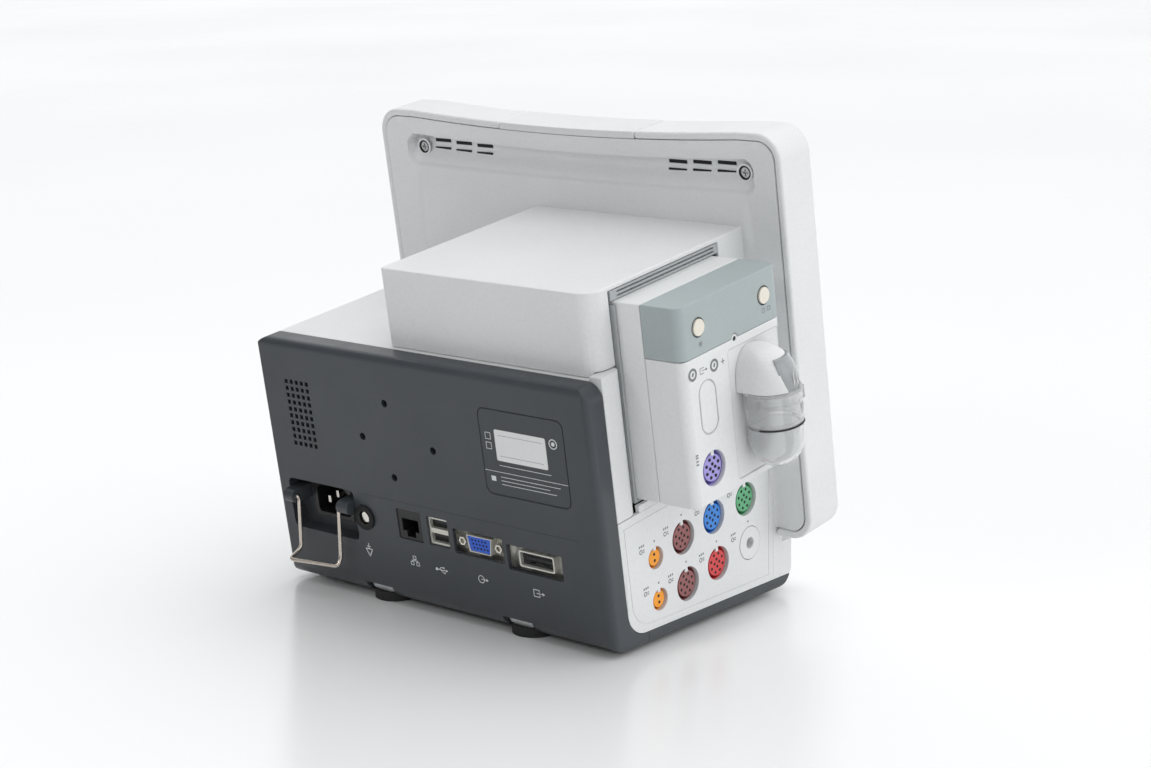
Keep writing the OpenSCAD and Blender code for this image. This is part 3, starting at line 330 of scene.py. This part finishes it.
def side_face(w, t, u=0.0):
    return Face(place(u, w, t), Vector((0, -COS, SIN)), UP)


class Sheet:
    """Collects thin raised shapes of one material into one mesh.

    A shape reaches from base to high along its face's normal, in mm.
    """

    def __init__(self, name, material, body=ROOT, high=RAISED):
        self.name, self.material, self.body, self.high = name, material, body, high
        self.verts, self.faces = [], []

    def prism(self, face, outline, base=SUNK, high=None):
        n, first = len(outline), len(self.verts)
        top = self.high if high is None else high
        self.verts += [face.at(x, y, base) for x, y in outline]
        self.verts += [face.at(x, y, top) for x, y in outline]
        self.faces.append([first + n + i for i in range(n)])
        self.faces.append([first + n - 1 - i for i in range(n)])
        for i in range(n):
            j = (i + 1) % n
            self.faces.append([first + i, first + j, first + n + j, first + n + i])

    def disc(self, face, x, y, r, steps=24, **where):
        self.prism(face, circle(x, y, r, steps), **where)

    def box(self, face, x0, y0, x1, y1, **where):
        self.prism(face, corners(x0, y0, x1, y1), **where)

    def line(self, face, a, b, wide, **where):
        along = Vector((b[0] - a[0], b[1] - a[1])).normalized()
        off = Vector((-along.y, along.x)) * wide / 2
        ends = [Vector(a) - along * wide / 4, Vector(b) + along * wide / 4]
        outline = [ends[0] - off, ends[1] - off, ends[1] + off, ends[0] + off]
        self.prism(face, outline, **where)

    def path(self, face, points, wide, closed=False, **where):
        for a, b in zip(points, points[1:] + (points[:1] if closed else [])):
            self.line(face, a, b, wide, **where)

    def ring(self, face, x, y, r, wide, steps=40, high=None):
        first, n = len(self.verts), steps
        top = self.high if high is None else high
        for radius in (r - wide / 2, r + wide / 2):
            for lift in (SUNK, top):
                self.verts += [face.at(px, py, lift) for px, py in circle(x, y, radius, n)]
        for i in range(n):
            j = (i + 1) % n
            low_in, top_in, low_out, top_out = (first + k * n for k in range(4))
            self.faces.append([top_in + i, top_out + i, top_out + j, top_in + j])
            self.faces.append([low_out + i, low_out + j, top_out + j, top_out + i])
            self.faces.append([low_in + j, low_in + i, top_in + i, top_in + j])
            self.faces.append([low_in + i, low_in + j, low_out + j, low_out + i])

    def done(self):
        return add(self.name, self.verts, self.faces, self.material, self.body)


def turns(steps):
    return [2 * math.pi * i / steps for i in range(steps)]


def circle(x, y, r, steps):
    return [(x + r * math.cos(a), y + r * math.sin(a)) for a in turns(steps)]


def corners(x0, y0, x1, y1):
    return [(x0, y0), (x1, y0), (x1, y1), (x0, y1)]


def rounded(w, h, r, x=0.0, y=0.0, steps=8):
    """Rectangle with round corners, as points."""
    points = []
    for k, (sx, sy) in enumerate(((1, 1), (-1, 1), (-1, -1), (1, -1))):
        for i in range(steps + 1):
            a = math.pi / 2 * (k + i / steps)
            across = sx * (w / 2 - r) + r * math.cos(a)
            points.append((x + across, y + sy * (h / 2 - r) + r * math.sin(a)))
    return points


def fillet(points, r, steps=10):
    """Rounds the inner corners of a 3-D path."""
    out = [points[0]]
    for a, b, c in zip(points, points[1:], points[2:]):
        back, on = (a - b).normalized(), (c - b).normalized()
        reach = min(r, (a - b).length * 0.48, (c - b).length * 0.48)
        for i in range(steps + 1):
            k = i / steps
            out.append(b + back * reach * (1 - k) ** 2 + on * reach * k**2)
    return out + [points[-1]]


def tube(name, points, r, material, body, steps=20):
    """A round wire along a path, closed at both ends."""
    verts, faces = [], []
    side = None
    for i, p in enumerate(points):
        ahead = (points[min(i + 1, len(points) - 1)] - points[max(i - 1, 0)]).normalized()
        if side is None:
            side = ahead.orthogonal().normalized()
        side = (side - ahead * side.dot(ahead)).normalized()
        over = ahead.cross(side)
        verts += [p + (side * math.cos(a) + over * math.sin(a)) * r for a in turns(steps)]
    for i in range(len(points) - 1):
        for j in range(steps):
            k = (j + 1) % steps
            near, far = i * steps, (i + 1) * steps
            faces.append([near + j, near + k, far + k, far + j])
    faces.append(list(range(steps))[::-1])
    faces.append([(len(points) - 1) * steps + j for j in range(steps)])
    return add(name, verts, faces, material, body, smooth=True)


# ---------- cord bail ----------

BAIL_U = (BODY_W - 50, BODY_W - 19)
BAIL_KICK = (2.5, 9)  # how far each end of the loop's foot stands out
BAIL_PIN, BAIL_DROP, BAIL_BEND = 7, 33, 3.2
WIRE_R = 1.1
PIVOT = place(0, -2.2, 50.5) / MM
BAIL_FOOT = PIVOT.z - BAIL_DROP


def bail_point(u, out, z):
    return Vector((u - BODY_W / 2, PIVOT.y + out, z)) * MM


bail_path = [
    bail_point(BAIL_U[0] - BAIL_PIN, 0, PIVOT.z),
    bail_point(BAIL_U[0], 0, PIVOT.z),
    bail_point(BAIL_U[0], 0, BAIL_FOOT + 4),
    bail_point(BAIL_U[0], BAIL_KICK[0], BAIL_FOOT - 0.4),
    bail_point(BAIL_U[1], BAIL_KICK[1], BAIL_FOOT - 0.4),
    bail_point(BAIL_U[1], 0, BAIL_FOOT + 4),
    bail_point(BAIL_U[1], 0, PIVOT.z),
    bail_point(BAIL_U[1] + BAIL_PIN, 0, PIVOT.z),
]
tube("bail_wire", fillet(bail_path, BAIL_BEND * MM), WIRE_R * MM, "bail_steel", "cord_bail")
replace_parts(bpy.data.objects["bail_wire"], "cord_bail")


# ---------- painted shade in the contact holes, keys and marks of the sockets ---

BIG = [(5 * math.cos(a), 5 * math.sin(a)) for a in [math.radians(22.5 + 45 * i) for i in range(8)]]
BIG += [(2, 0), (0, 2), (-2, 0), (0, -2)]
SMALL = [(0, 1.7), (0, -1.7)]
# w and t of each round socket, its contacts, the radius of its core and of its rim
SOCKETS = [
    (38.6, 38.4, SMALL, 4.25, 5.9),
    (38.6, 15.7, SMALL, 4.25, 5.9),
    (61.5, 40.6, BIG, 6.85, 9),
    (61.5, 14.9, BIG, 6.85, 9),
    (87.5, 41.8, BIG, 6.85, 9),
    (87.5, 15.9, BIG, 6.85, 9),
    (115.3, 41.3, BIG, 6.85, 9),
]
CUFF_W, CUFF_T = 115.3, 16.4
CORE_U = 1.0  # the sockets' cores lie this far inside the panel
MODULE_U, MODULE_PRINT_U = -34.9, -34.7  # the gas module's socket and printed faces
CONTACT_R = 0.82
MARK_GAP, DOT_GAP, DOT_R = 4.2, 3.2, 0.55

# black discs paint the shade inside the contact holes of the side sockets
side_hole_shade = Sheet("contact_hole_shade", "hole_black")
tabs = Sheet("socket_keys", "white_shell")
dots = Sheet("socket_marks", "print_grey")


# lays black discs over the contact holes as painted shade
def shade_contact_holes(sheet, deck, pattern):
    for x, y in pattern:
        sheet.disc(deck, x, y, CONTACT_R, 20, base=-2.0, high=0.03)


def side_mark(panel, x):
    """A small generic pictogram above and beside a socket."""
    for across in (-1.5, 0, 1.5):
        dots.box(panel, x + across - 0.45, 9.4, x + across + 0.45, 10.5)
    dots.ring(panel, x - 0.9, 7.2, 1.0, 0.5, 20)
    dots.box(panel, x + 0.7, 6.3, x + 1.9, 6.8)
    dots.box(panel, x + 0.7, 7.4, x + 1.9, 7.9)


for w, t, pattern, core, rim in SOCKETS:
    deck = side_face(w, t, CORE_U)
    shade_contact_holes(side_hole_shade, deck, pattern)
    tabs.box(deck, -1.0, core - 0.2, 1.0, rim + 0.1, base=-3.0, high=0.85)
    panel = side_face(w, t)
    dots.disc(panel, 0, rim + DOT_GAP, DOT_R)
    side_mark(panel, -rim - MARK_GAP)
panel = side_face(CUFF_W, CUFF_T)
dots.disc(panel, 0, 12.2, DOT_R)
side_mark(panel, -13.4)
side_hole_shade.done()
tabs.done()
dots.done()

gas_deck = side_face(48.8, 88.4, MODULE_U + 1.2)
# black discs paint the shade inside the gas socket's contact holes
module_hole_shade = Sheet("module_contact_hole_shade", "hole_black", "module")
shade_contact_holes(module_hole_shade, gas_deck, BIG)
module_hole_shade.done()
gas_key = Sheet("module_socket_key", "white_shell", "module")
gas_key.box(gas_deck, -1.0, 6.6, 1.0, 9.1, base=-3.0, high=0.6)
gas_key.done()


# ---------- back cover of the display ----------

HEAD_W, HEAD_T0, HEAD_T1 = 281.0, 11.5, 231.5
INSET = 4.3  # from the bezel's outline to the cover's
COVER_R = 10.0
COVER_SKIRT = 4
COVER_COLS, COVER_ROWS = 273, 212
DIP, DIP_HALF = 4.0, 113.4  # the top edge dips in the middle, out to DIP_HALF each way
COVER_W = 140.8
# how far the bowl rises at its sides, its top and its foot
SIDE_RISE, TOP_RISE, FOOT_RISE = 2.3, 2.0, 2.2
# the finger recess under the top edge
GRIP_T0, GRIP_T1 = 199, 217.0
GRIP_HALF, GRIP_R, GRIP_DEEP = 122, 7.0, 6.4


def step(x, low, high):
    """Eases from 0 to 1 between low and high."""
    k = min(1, max(0, (x - low) / (high - low)))
    return k * k * (3 - 2 * k)


def dip(x):
    return DIP * max(0, 1 - (x / DIP_HALF) ** 2)


def drop(x, t):
    """How far the cover's upper part is lowered at x by the curve of its top edge."""
    return dip(x) * step(t, 180, HEAD_T1 - INSET)


def cover_depth(x, t):
    """The cover's surface as a w: a shallow bowl with a finger recess.

    The recess is crisp at its top and ends and eases out at the bottom.
    """
    side = SIDE_RISE * max((abs(x) - 117) / 19, 0) + 0.5 * step(abs(x), 115, 119)
    top = TOP_RISE * step(t, GRIP_T1 - 1, HEAD_T1 - INSET)
    foot = FOOT_RISE * step(GRIP_T0 + 0.5 - t, 0, 17) * step(GRIP_HALF - 1 - abs(x), 0, 8)
    surface_w = COVER_W - max(side, top, foot)

    mid, half_h = (GRIP_T1 + GRIP_T0) / 2, (GRIP_T1 - GRIP_T0) / 2
    dx, dt = abs(x) - (GRIP_HALF - GRIP_R), abs(t - mid) - (half_h - GRIP_R)
    inside = -(math.hypot(max(dx, 0), max(dt, 0)) + min(max(dx, dt), 0) - GRIP_R)
    ease = 0.22 + 0.78 * step(t, 200, 212)
    return surface_w + GRIP_DEEP * step(inside, 0, 1.1) * ease


def cover_point(x, t):
    return place(BODY_W / 2 + x, cover_depth(x, t), t - drop(x, t))


def cover_face(x, t):
    return rear_face(BODY_W / 2 + x, t - drop(x, t), cover_depth(x, t))


def cover_skin():
    """The back cover as a grid squeezed into round corners, with a skirt at its border."""
    half, t0, t1, r = HEAD_W / 2 - INSET, HEAD_T0 + INSET, HEAD_T1 - INSET, COVER_R
    cols, rows = COVER_COLS, COVER_ROWS
    verts, faces = [], []
    for j in range(rows):
        for i in range(cols):
            x, t = -half + 2 * half * i / (cols - 1), t0 + (t1 - t0) * j / (rows - 1)
            cx, ct = max(-half + r, min(half - r, x)), max(t0 + r, min(t1 - r, t))
            if x != cx and t != ct:
                far = max(abs(x - cx), abs(t - ct)) / math.hypot(x - cx, t - ct)
                x, t = cx + (x - cx) * far, ct + (t - ct) * far
            verts.append(cover_point(x, t))
    for j in range(rows - 1):
        for i in range(cols - 1):
            a = j * cols + i
            faces.append([a, a + 1, a + cols + 1, a + cols])
    border = list(range(cols))
    border += [j * cols + cols - 1 for j in range(1, rows)]
    border += [(rows - 1) * cols + i for i in range(cols - 2, -1, -1)]
    border += [j * cols for j in range(rows - 2, 0, -1)]
    first = len(verts)
    verts += [verts[b] - REAR * COVER_SKIRT * MM for b in border]
    for k, b in enumerate(border):
        n = (k + 1) % len(border)
        faces.append([b, first + k, first + n, border[n]])
    skin = add("display_cover", verts, faces, "white_shell", smooth=True)
    parting = skin.modifiers.new("parting", "EDGE_SPLIT")
    parting.split_angle = math.radians(50)
    return skin


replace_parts(cover_skin(), "display_back")

VENT_ROWS, VENT_PITCH, VENT_FROM = (208.6, 213.4), 16, 13
BOSS_T, BOSS_W = 209, 144.5

# black plates paint the shade inside the vent slots, and black rings paint the shade round the
# screw bosses
vent_shade = Sheet("display_vent_shade", "hole_black")
vent_lips = Sheet("display_vent_lips", "white_shell")
for side_x in (-1, 1):
    for i in range(3):
        for t in VENT_ROWS:
            spot = cover_face(side_x * (DIP_HALF - VENT_FROM - i * VENT_PITCH), t)
            vent_shade.prism(spot, rounded(12, 1.9, 0.4), base=-0.5, high=0.06)
            vent_lips.prism(spot, rounded(12.6, 0.5, 0.2, 0, -1.3), base=-0.5, high=0.35)
    boss = rear_face(BODY_W / 2 + side_x * DIP_HALF, BOSS_T, BOSS_W)
    vent_lips.ring(boss, 0, 0, 4.3, 1.0, 40, high=0.6)
    vent_shade.ring(boss, 0, 0, 3.3, 0.9, 40, high=0.4)
vent_shade.done()
vent_lips.done()


# ---------- water trap ----------

TRAP_W = 86.5
DOCK_U = -34.3
TRAP_R, AXIS_OUT = 14.5, 10.9
CAP_T0, CAP_H, CAP_WALL = 119.6, 21.4, 1.2
LATCH_SHARE = 0.93  # the latch's radius as a share of the cap's
BAND_HALF = 84  # degrees each way that the raised bands reach


def trap_point(side_x, out, t):
    """side_x runs away from the rear, out runs away from the module."""
    return place(DOCK_U - out, TRAP_W + side_x, t)


def trap_face(angle, radius, t):
    """A flat patch on the trap's front, turned round its axis."""
    across, out = math.sin(angle), math.cos(angle)
    centre = trap_point(radius * across, AXIS_OUT + radius * out, t)
    return Face(centre, Vector((across, -out * COS, out * SIN)), UP)


def crisp(shape, degrees):
    """Keeps the edges sharper than this on a smooth piece."""
    shape.modifiers.new("crisp", "EDGE_SPLIT").split_angle = math.radians(degrees)


def latch_side(v):
    """Where the cap's curved edge meets the latch, as a share of the trap's radius."""
    return -0.34 - 0.14 * math.sin(math.pi * min(1, v / 0.85))


def cut_at(v):
    """The cap's edge: up along the latch, then across above it."""
    return latch_side(v) + 1.5 * step(v, 0.6, 0.74)


def hood(name, material, start, end, swell, square=2.5, high=1.0):
    """Part of a domed cap between two shares of its width, up to a share of its height."""
    levels, steps = 26, 44
    row = steps + 1
    heights = [high * math.sin(j / levels * math.pi / 2) for j in range(levels + 1)]
    verts, faces = [], []
    for v in heights:
        up = min(v, 0.9999)  # the top row stays just open
        wide = (1 - up**square) ** (1 / square) * TRAP_R * swell
        deep = (1 - up ** (square - 0.5)) ** (1 / (square - 0.5))
        a, b = start(v), end(v)
        for i in range(row):
            share = max(-1, min(1, a + (b - a) * i / steps))
            out = (AXIS_OUT + TRAP_R * swell * math.cos(math.asin(share))) * deep
            verts.append(trap_point(wide * share, out, CAP_T0 + CAP_H * v))
    for j in range(levels):
        for i in range(steps):
            k = j * row + i
            faces.append([k, k + 1, k + row + 1, k + row])
    # each side turns inward: back to the dock where it is full width, else by the wall
    for offset, side, flip in ((0, start, False), (steps, end, True)):
        to_dock = abs(side(0)) > 0.99
        first = len(verts)
        for j, v in enumerate(heights):
            edge, t = verts[j * row + offset], CAP_T0 + CAP_H * v
            if to_dock:
                side_x = (edge - trap_point(0, 0, t)).dot(-REAR) / MM
                verts.append(trap_point(side_x, 0, t))
            else:
                inward = (trap_point(0, 6, t) - edge).normalized()
                verts.append(edge + inward * CAP_WALL * MM)
        for j in range(levels):
            quad = [j * row + offset, (j + 1) * row + offset, first + j + 1, first + j]
            faces.append(quad[::-1] if flip else quad)
    if high < 1:
        top = [levels * row + i for i in range(row)]
        faces.append(top[::-1] + [row * (levels + 1) + levels])
    made = add(name, verts, faces, material, "water_trap", smooth=True)
    crisp(made, 45)
    return made


cap = hood("trap_hood", "trap_white", lambda v: -1.0, cut_at, 1.0)
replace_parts(cap, "trap_cap")
latch = hood(
    "trap_release", "trap_grey", lambda v: latch_side(v) - 0.08, lambda v: 1.0,
    LATCH_SHARE, square=3.0, high=0.73,
)
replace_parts(latch, "trap_latch")

SEAL_T, SEAL_R, SEAL_HALF = 101.0, TRAP_R - 0.1, 86
ring_path = [
    trap_point(SEAL_R * math.sin(a), AXIS_OUT + SEAL_R * math.cos(a), SEAL_T)
    for a in [math.radians(-SEAL_HALF + 2 * SEAL_HALF * i / 48) for i in range(49)]
]
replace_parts(tube("trap_ring", ring_path, 0.5 * MM, "foot_rubber", "water_trap", 12), "trap_seal")


def trap_band(name, t0, t1, grow):
    """A raised band round the front of the clear body."""
    n = 48
    row = n + 1
    verts, faces = [], []
    for t in (t0, t1):
        for r in (TRAP_R, TRAP_R + grow):
            for i in range(row):
                a = math.radians(-BAND_HALF + 2 * BAND_HALF * i / n)
                verts.append(trap_point(r * math.sin(a), AXIS_OUT + r * math.cos(a), t))
    for i in range(n):
        faces.append([i, i + 1, row + i + 1, row + i])
        faces.append([2 * row + i, 3 * row + i, 3 * row + i + 1, 2 * row + i + 1])
        faces.append([row + i, row + i + 1, 3 * row + i + 1, 3 * row + i])
        faces.append([i + 1, i, 2 * row + i, 2 * row + i + 1])
    for i in (0, n):
        faces.append([i, row + i, 3 * row + i, 2 * row + i])
    crisp(add(name, verts, faces, "clear_plastic", "water_trap", smooth=True), 40)


trap_band("trap_flange_high", 117.6, 119.4, 0.3)
trap_band("trap_flange_low", 112.4, 113.4, 0.25)
trap_band("trap_collar", 102.6, 103.6, 0.25)

trap_marks = Sheet("trap_marks", "print_grey", "water_trap", 0.12)
mark_at = trap_face(0.4, TRAP_R, 108.5)
for y, x0, x1 in ((2.2, -2.6, 1.6), (0.9, -1.4, 2.6), (-0.4, -1.4, 1.8), (-2.0, -2.6, 1.8)):
    trap_marks.line(mark_at, (x0, y), (x1, y), 0.35)
trap_marks.line(mark_at, (-2.6, 2.2), (-2.6, -2.0), 0.35)
trap_marks.done()

grip = Sheet("trap_release_ribs", "trap_white", "water_trap", 0.25)
for angle in (0.0, 0.22, 0.44):
    rib_at = trap_face(angle, TRAP_R * LATCH_SHARE, 125.6)
    grip.line(rib_at, (0, -3.4), (0, 2.6 - 3 * angle), 0.4)
grip.done()

tab = Sheet("trap_tab", "clear_plastic", "water_trap")
tab_at = side_face(TRAP_W + 16.5, 115.6, DOCK_U - 10.5)
tab.prism(tab_at, rounded(6.4, 6.0, 1.2), base=-0.9, high=0.0)
tab.done()


# ---------- printed marks and small fittings ----------

ARROW = [(2.6, -0.9), (4.2, 0), (2.6, 0.9)]
FINE, MEDIUM = 0.4, 0.5  # widths of the printed lines

prints = Sheet("rear_marks", "print_white")
earth = rear_face(166.9, 26.4)
prints.path(earth, [(0, 4.2), (0, 1.2)], MEDIUM)
prints.path(earth, [(-2.4, 1.0), (2.4, 1.0), (0, -3.2)], MEDIUM, closed=True)
prints.path(earth, [(-1.2, 2.4), (1.2, 2.4)], FINE)

net = rear_face(132.9, 26.8)
for x, y in ((-2.0, -1.6), (2.0, -1.6), (0, 1.8)):
    prints.path(net, corners(x - 1, y - 0.9, x + 1, y + 0.9), FINE, closed=True)
prints.path(net, [(-2, -0.6), (-2, 0.1), (2, 0.1), (2, -0.6)], FINE)
prints.path(net, [(0, 0.1), (0, 0.8)], FINE)

usb = rear_face(113.4, 25.3)
prints.path(usb, [(-3.6, 0), (2.8, 0)], 0.45)
prints.path(usb, [(-2.0, 0), (-0.6, 1.4), (1.0, 1.4)], FINE)
prints.path(usb, [(-1.0, 0), (0.4, -1.4), (1.6, -1.4)], FINE)
prints.disc(usb, -3.8, 0, 0.85)
prints.disc(usb, 1.5, 1.4, 0.5)
prints.box(usb, 1.3, -1.9, 2.2, -1.0)
prints.prism(usb, [(2.8, -0.8), (4.2, 0), (2.8, 0.8)])

video = rear_face(84.7, 25.6)
prints.ring(video, -0.8, 0, 2.0, FINE)
prints.path(video, [(-0.8, 0), (3.2, 0)], FINE)
prints.prism(video, ARROW)

outport = rear_face(46.5, 25.3)
prints.path(outport, [(0.6, -1.9), (-3.2, -1.9), (-3.2, 1.9), (0.6, 1.9), (0.6, 0.9)], FINE)
prints.path(outport, [(0.6, -1.9), (0.6, -0.9)], FINE)
prints.path(outport, [(-1.2, 0), (3.2, 0)], FINE)
prints.prism(outport, ARROW)

# painted shade inside the video, USB and earth connectors: black discs in the video pin holes,
# black plates in the USB slots and a black ring round the earth pin
VIDEO_U, VIDEO_T, VIDEO_W = 84.7, 44.2, 1.3
USB_U, USB_T, USB_W, USB_HALF_GAP = 112.7, 46.6, 3.6, 3.9
EARTH_U, EARTH_T, EARTH_W = 166.3, 45.8, -1.2

# black discs paint the shade inside the video socket's pin holes
video_hole_shade = Sheet("video_hole_shade", "hole_black")
for line in (-1, 0, 1):
    for col in range(-2, 3):
        pin = rear_face(VIDEO_U + col * 2.3 + line * 0.5, VIDEO_T + line * 2.1, VIDEO_W)
        video_hole_shade.disc(pin, 0, 0, 0.62, 16, base=-2.0, high=0.04)
video_hole_shade.done()

port_shadows = Sheet("port_shadows", "hole_black")
for level in (-1, 1):
    slot = rear_face(USB_U, USB_T + level * USB_HALF_GAP, USB_W)
    port_shadows.box(slot, -6.2, -2.5, 6.2, 2.5, base=-0.3, high=0.0)
port_shadows.ring(rear_face(EARTH_U, EARTH_T, EARTH_W), 0, 0, 5.6, 2.6, 64, high=0.04)
port_shadows.done()

# the rating plate: a pale label with two fields, plain bars for text, and simple shapes
plate = rear_face(45.1, 98.7, 0.1)
label = Sheet("plate_label", "label_paper", high=0.12)
label.prism(plate, rounded(33.6, 16.6, 1.0, -1.2, 4.2))
label.done()
fields = Sheet("label_fields", "print_grey", high=0.14)
for y in (9.6, -1.4):
    fields.line(plate, (-15.6, y), (13.2, y), 0.2)
fields.done()
prints.path(plate, [(-27.2, -10.3), (27.2, -10.3)], 0.25)
for y, start, end in ((-6.6, -17, 17), (-12.8, -17, 22), (-14.8, -17, 15), (-16.8, -17, 19)):
    prints.line(plate, (start, y), (end, y), 0.28)
prints.box(plate, -23.6, -15.6, -20.6, -13.0)
prints.ring(plate, 20.5, 10.2, 2.4, MEDIUM)
prints.disc(plate, 20.5, 10.2, 1.1)
for y in (8.4, 3.2):
    prints.path(plate, corners(-24.3, y - 1.7, -20.9, y + 1.7), 0.3, closed=True)
prints.done()
outline = Sheet("plate_outline", "print_dark", high=0.08)
outline.path(plate, rounded(55.2, 45.3, 3.9), 0.35, closed=True)
outline.done()


def module_at(w, t):
    return side_face(w, t, MODULE_PRINT_U)


# from the rear: two dials with an arrow between, a plus, a sun, a ring, a box and bars
front = Sheet("module_marks", "print_grey", "module")
for w, t in ((39.1, 139.4), (56.1, 138.9)):
    spot = module_at(w, t)
    front.ring(spot, 0, 0, 2.6, 1.3, 36)
    front.prism(spot, [(-0.9, -0.5), (0.2, -1.2), (1.1, 0.7), (0, 1.2)])
spot = module_at(47.3, 139.1)
front.path(spot, [(0.6, -1.4), (-2.4, -1.4), (-2.4, 1.4), (0.6, 1.4)], 0.35)
front.path(spot, [(-0.9, 0), (2.8, 0)], 0.35)
front.prism(spot, [(2.1, -0.8), (3.4, 0), (2.1, 0.8)])
spot = module_at(63.1, 138.7)
front.path(spot, [(-1.2, 0), (1.2, 0)], MEDIUM)
front.path(spot, [(0, -1.3), (0, 1.3)], FINE)
spot = module_at(47.3, 152.4)
front.disc(spot, 0, 0, 0.9)
for inner, outer in zip(circle(0, 0, 1.2, 8), circle(0, 0, 1.8, 8)):
    front.line(spot, inner, outer, 0.25)
front.ring(module_at(99.0, 153.4), 0, 0, 1.2, 0.35, 20)
front.path(module_at(103.3, 153.4), corners(-1.1, -0.8, 1.1, 1.0), 0.35, closed=True)
for y in (2.2, 0.9, -0.9, -2.6):
    front.box(module_at(36.4, 97), -0.9, y - 0.35, 0.9, y + 0.35)
front.done()

key_rings = Sheet("key_rings", "print_dark", "module", 0.05)
for w in (46.6, 99.9):
    key_rings.ring(module_at(w, 161), 0, 0, 4.75, 0.45, 48)
key_rings.disc(module_at(74, 146.7), 0, 0, 1.15, base=-1.2, high=-0.5)
key_rings.done()

# a thin dark line paints the shade along the faint ledge of the rear cover
ledge_shade = Sheet("ledge_shade_line", "print_dark", high=0.03)
ledge_shade.line(rear_face(0, 0), (-15, 59.4), (-166, 59.4), 0.22)
ledge_shade.done()

FOOT_U = (64.4, 164)
FOOT_HALF, FOOT_STEPS = 9.2, 12
FOOT_PROFILE = [(66, 0.6), (73.4, 0.9), (75.6, 2.4), (76.9, 4.4), (77.6, 7.0), (66, 7.0)]


def foot_insert(u):
    """Pale upright part of a rear foot, seen through its notch."""
    verts, faces = [], []
    for i in range(FOOT_STEPS + 1):
        x = -FOOT_HALF + 2 * FOOT_HALF * i / FOOT_STEPS
        tuck = 1.1 * (abs(x) / FOOT_HALF) ** 4
        verts += [Vector((u - BODY_W / 2 + x, y - tuck, z)) * MM for y, z in FOOT_PROFILE]
    n = len(FOOT_PROFILE)
    for i in range(FOOT_STEPS):
        for k in range(n):
            m = (k + 1) % n
            faces.append([i * n + k, i * n + m, (i + 1) * n + m, (i + 1) * n + k])
    faces.append(list(range(n)))
    faces.append([FOOT_STEPS * n + k for k in range(n)][::-1])
    add("foot_insert_%d" % round(u), verts, faces, "print_white")


for u in FOOT_U:
    foot_insert(u)


# ---------- camera ----------

# fitted to points of the photo
EYE = (-0.799228, 0.899181, 0.376349)
LOOK = Vector((0.63652, -0.73992, -0.21763)).normalized()
ROLL = math.radians(-1.23)
LENS, SENSOR = 71.305, 36

cam_data = bpy.data.cameras.new("camera")
camera = bpy.data.objects.new("camera", cam_data)
bpy.context.scene.collection.objects.link(camera)
cam_data.lens = LENS
cam_data.sensor_width = SENSOR
right = LOOK.cross(Vector((0, 0, 1))).normalized()
over = right.cross(LOOK)
x_axis = right * math.cos(ROLL) + over * math.sin(ROLL)
y_axis = -right * math.sin(ROLL) + over * math.cos(ROLL)
turn = Matrix((x_axis, y_axis, -LOOK)).transposed().to_4x4()
camera.matrix_world = Matrix.Translation(EYE) @ turn
bpy.context.scene.camera = camera


# ---------- floor and light ----------

FLOOR_Z = -2.5 * MM
FLOOR_HALF = 6

floor_mesh = bpy.data.meshes.new("floor")
ground = [(x, y, FLOOR_Z) for x, y in corners(-FLOOR_HALF, -FLOOR_HALF, FLOOR_HALF, FLOOR_HALF)]
floor_mesh.from_pydata(ground, [], [(0, 1, 2, 3)])
floor = bpy.data.objects.new("floor", floor_mesh)
bpy.context.scene.collection.objects.link(floor)
floor_mesh.materials.append(sheet_floor("floor_white", (0.95, 0.95, 0.95)))

# the studio is bright overhead, on the socket side and on the screen side, and dim at the rear
BRIGHT_FROM = Vector((-0.45, -1.0, 0.0)).normalized()
DIM, BRIGHT = 0.19, 1.18
DIM_AT, BRIGHT_AT = -0.6, 0.12

world = bpy.data.worlds.new("studio")
bpy.context.scene.world = world
world.use_nodes = True
sky = world.node_tree
back = sky.nodes["Background"]
toward = node(sky, "ShaderNodeTexCoord").outputs["Generated"]
along = node(sky, "ShaderNodeVectorMath", operation="DOT_PRODUCT")
along.inputs[1].default_value = BRIGHT_FROM
sky.links.new(toward, along.inputs[0])
glow = spread(sky, along.outputs["Value"], DIM, BRIGHT, DIM_AT, BRIGHT_AT)
sky.links.new(glow, back.inputs["Strength"])
back.inputs["Color"].default_value = (0.98, 0.99, 1.0, 1)


def softbox(name, spot, aim, size, power):
    """A soft rectangular light, in metres and watts."""
    data = bpy.data.lights.new(name, "AREA")
    data.shape = "RECTANGLE"
    data.size, data.size_y = size
    data.energy = power
    lamp = bpy.data.objects.new(name, data)
    bpy.context.scene.collection.objects.link(lamp)
    lamp.location = spot
    lamp.rotation_euler = (Vector(aim) - Vector(spot)).to_track_quat("-Z", "Y").to_euler()


softbox("top_box", (-0.2, -0.1, 1.5), (0, 0, 0.1), (1.6, 1.2), 3.5)
softbox("side_box", (-1.8, -0.5, 0.9), (0, 0, 0.1), (1.0, 1.2), 3)
softbox("rear_box", (0.35, 1.5, 1.0), (0, 0, 0.08), (0.5, 0.5), 4)

bpy.context.scene.view_settings.view_transform = "Standard"
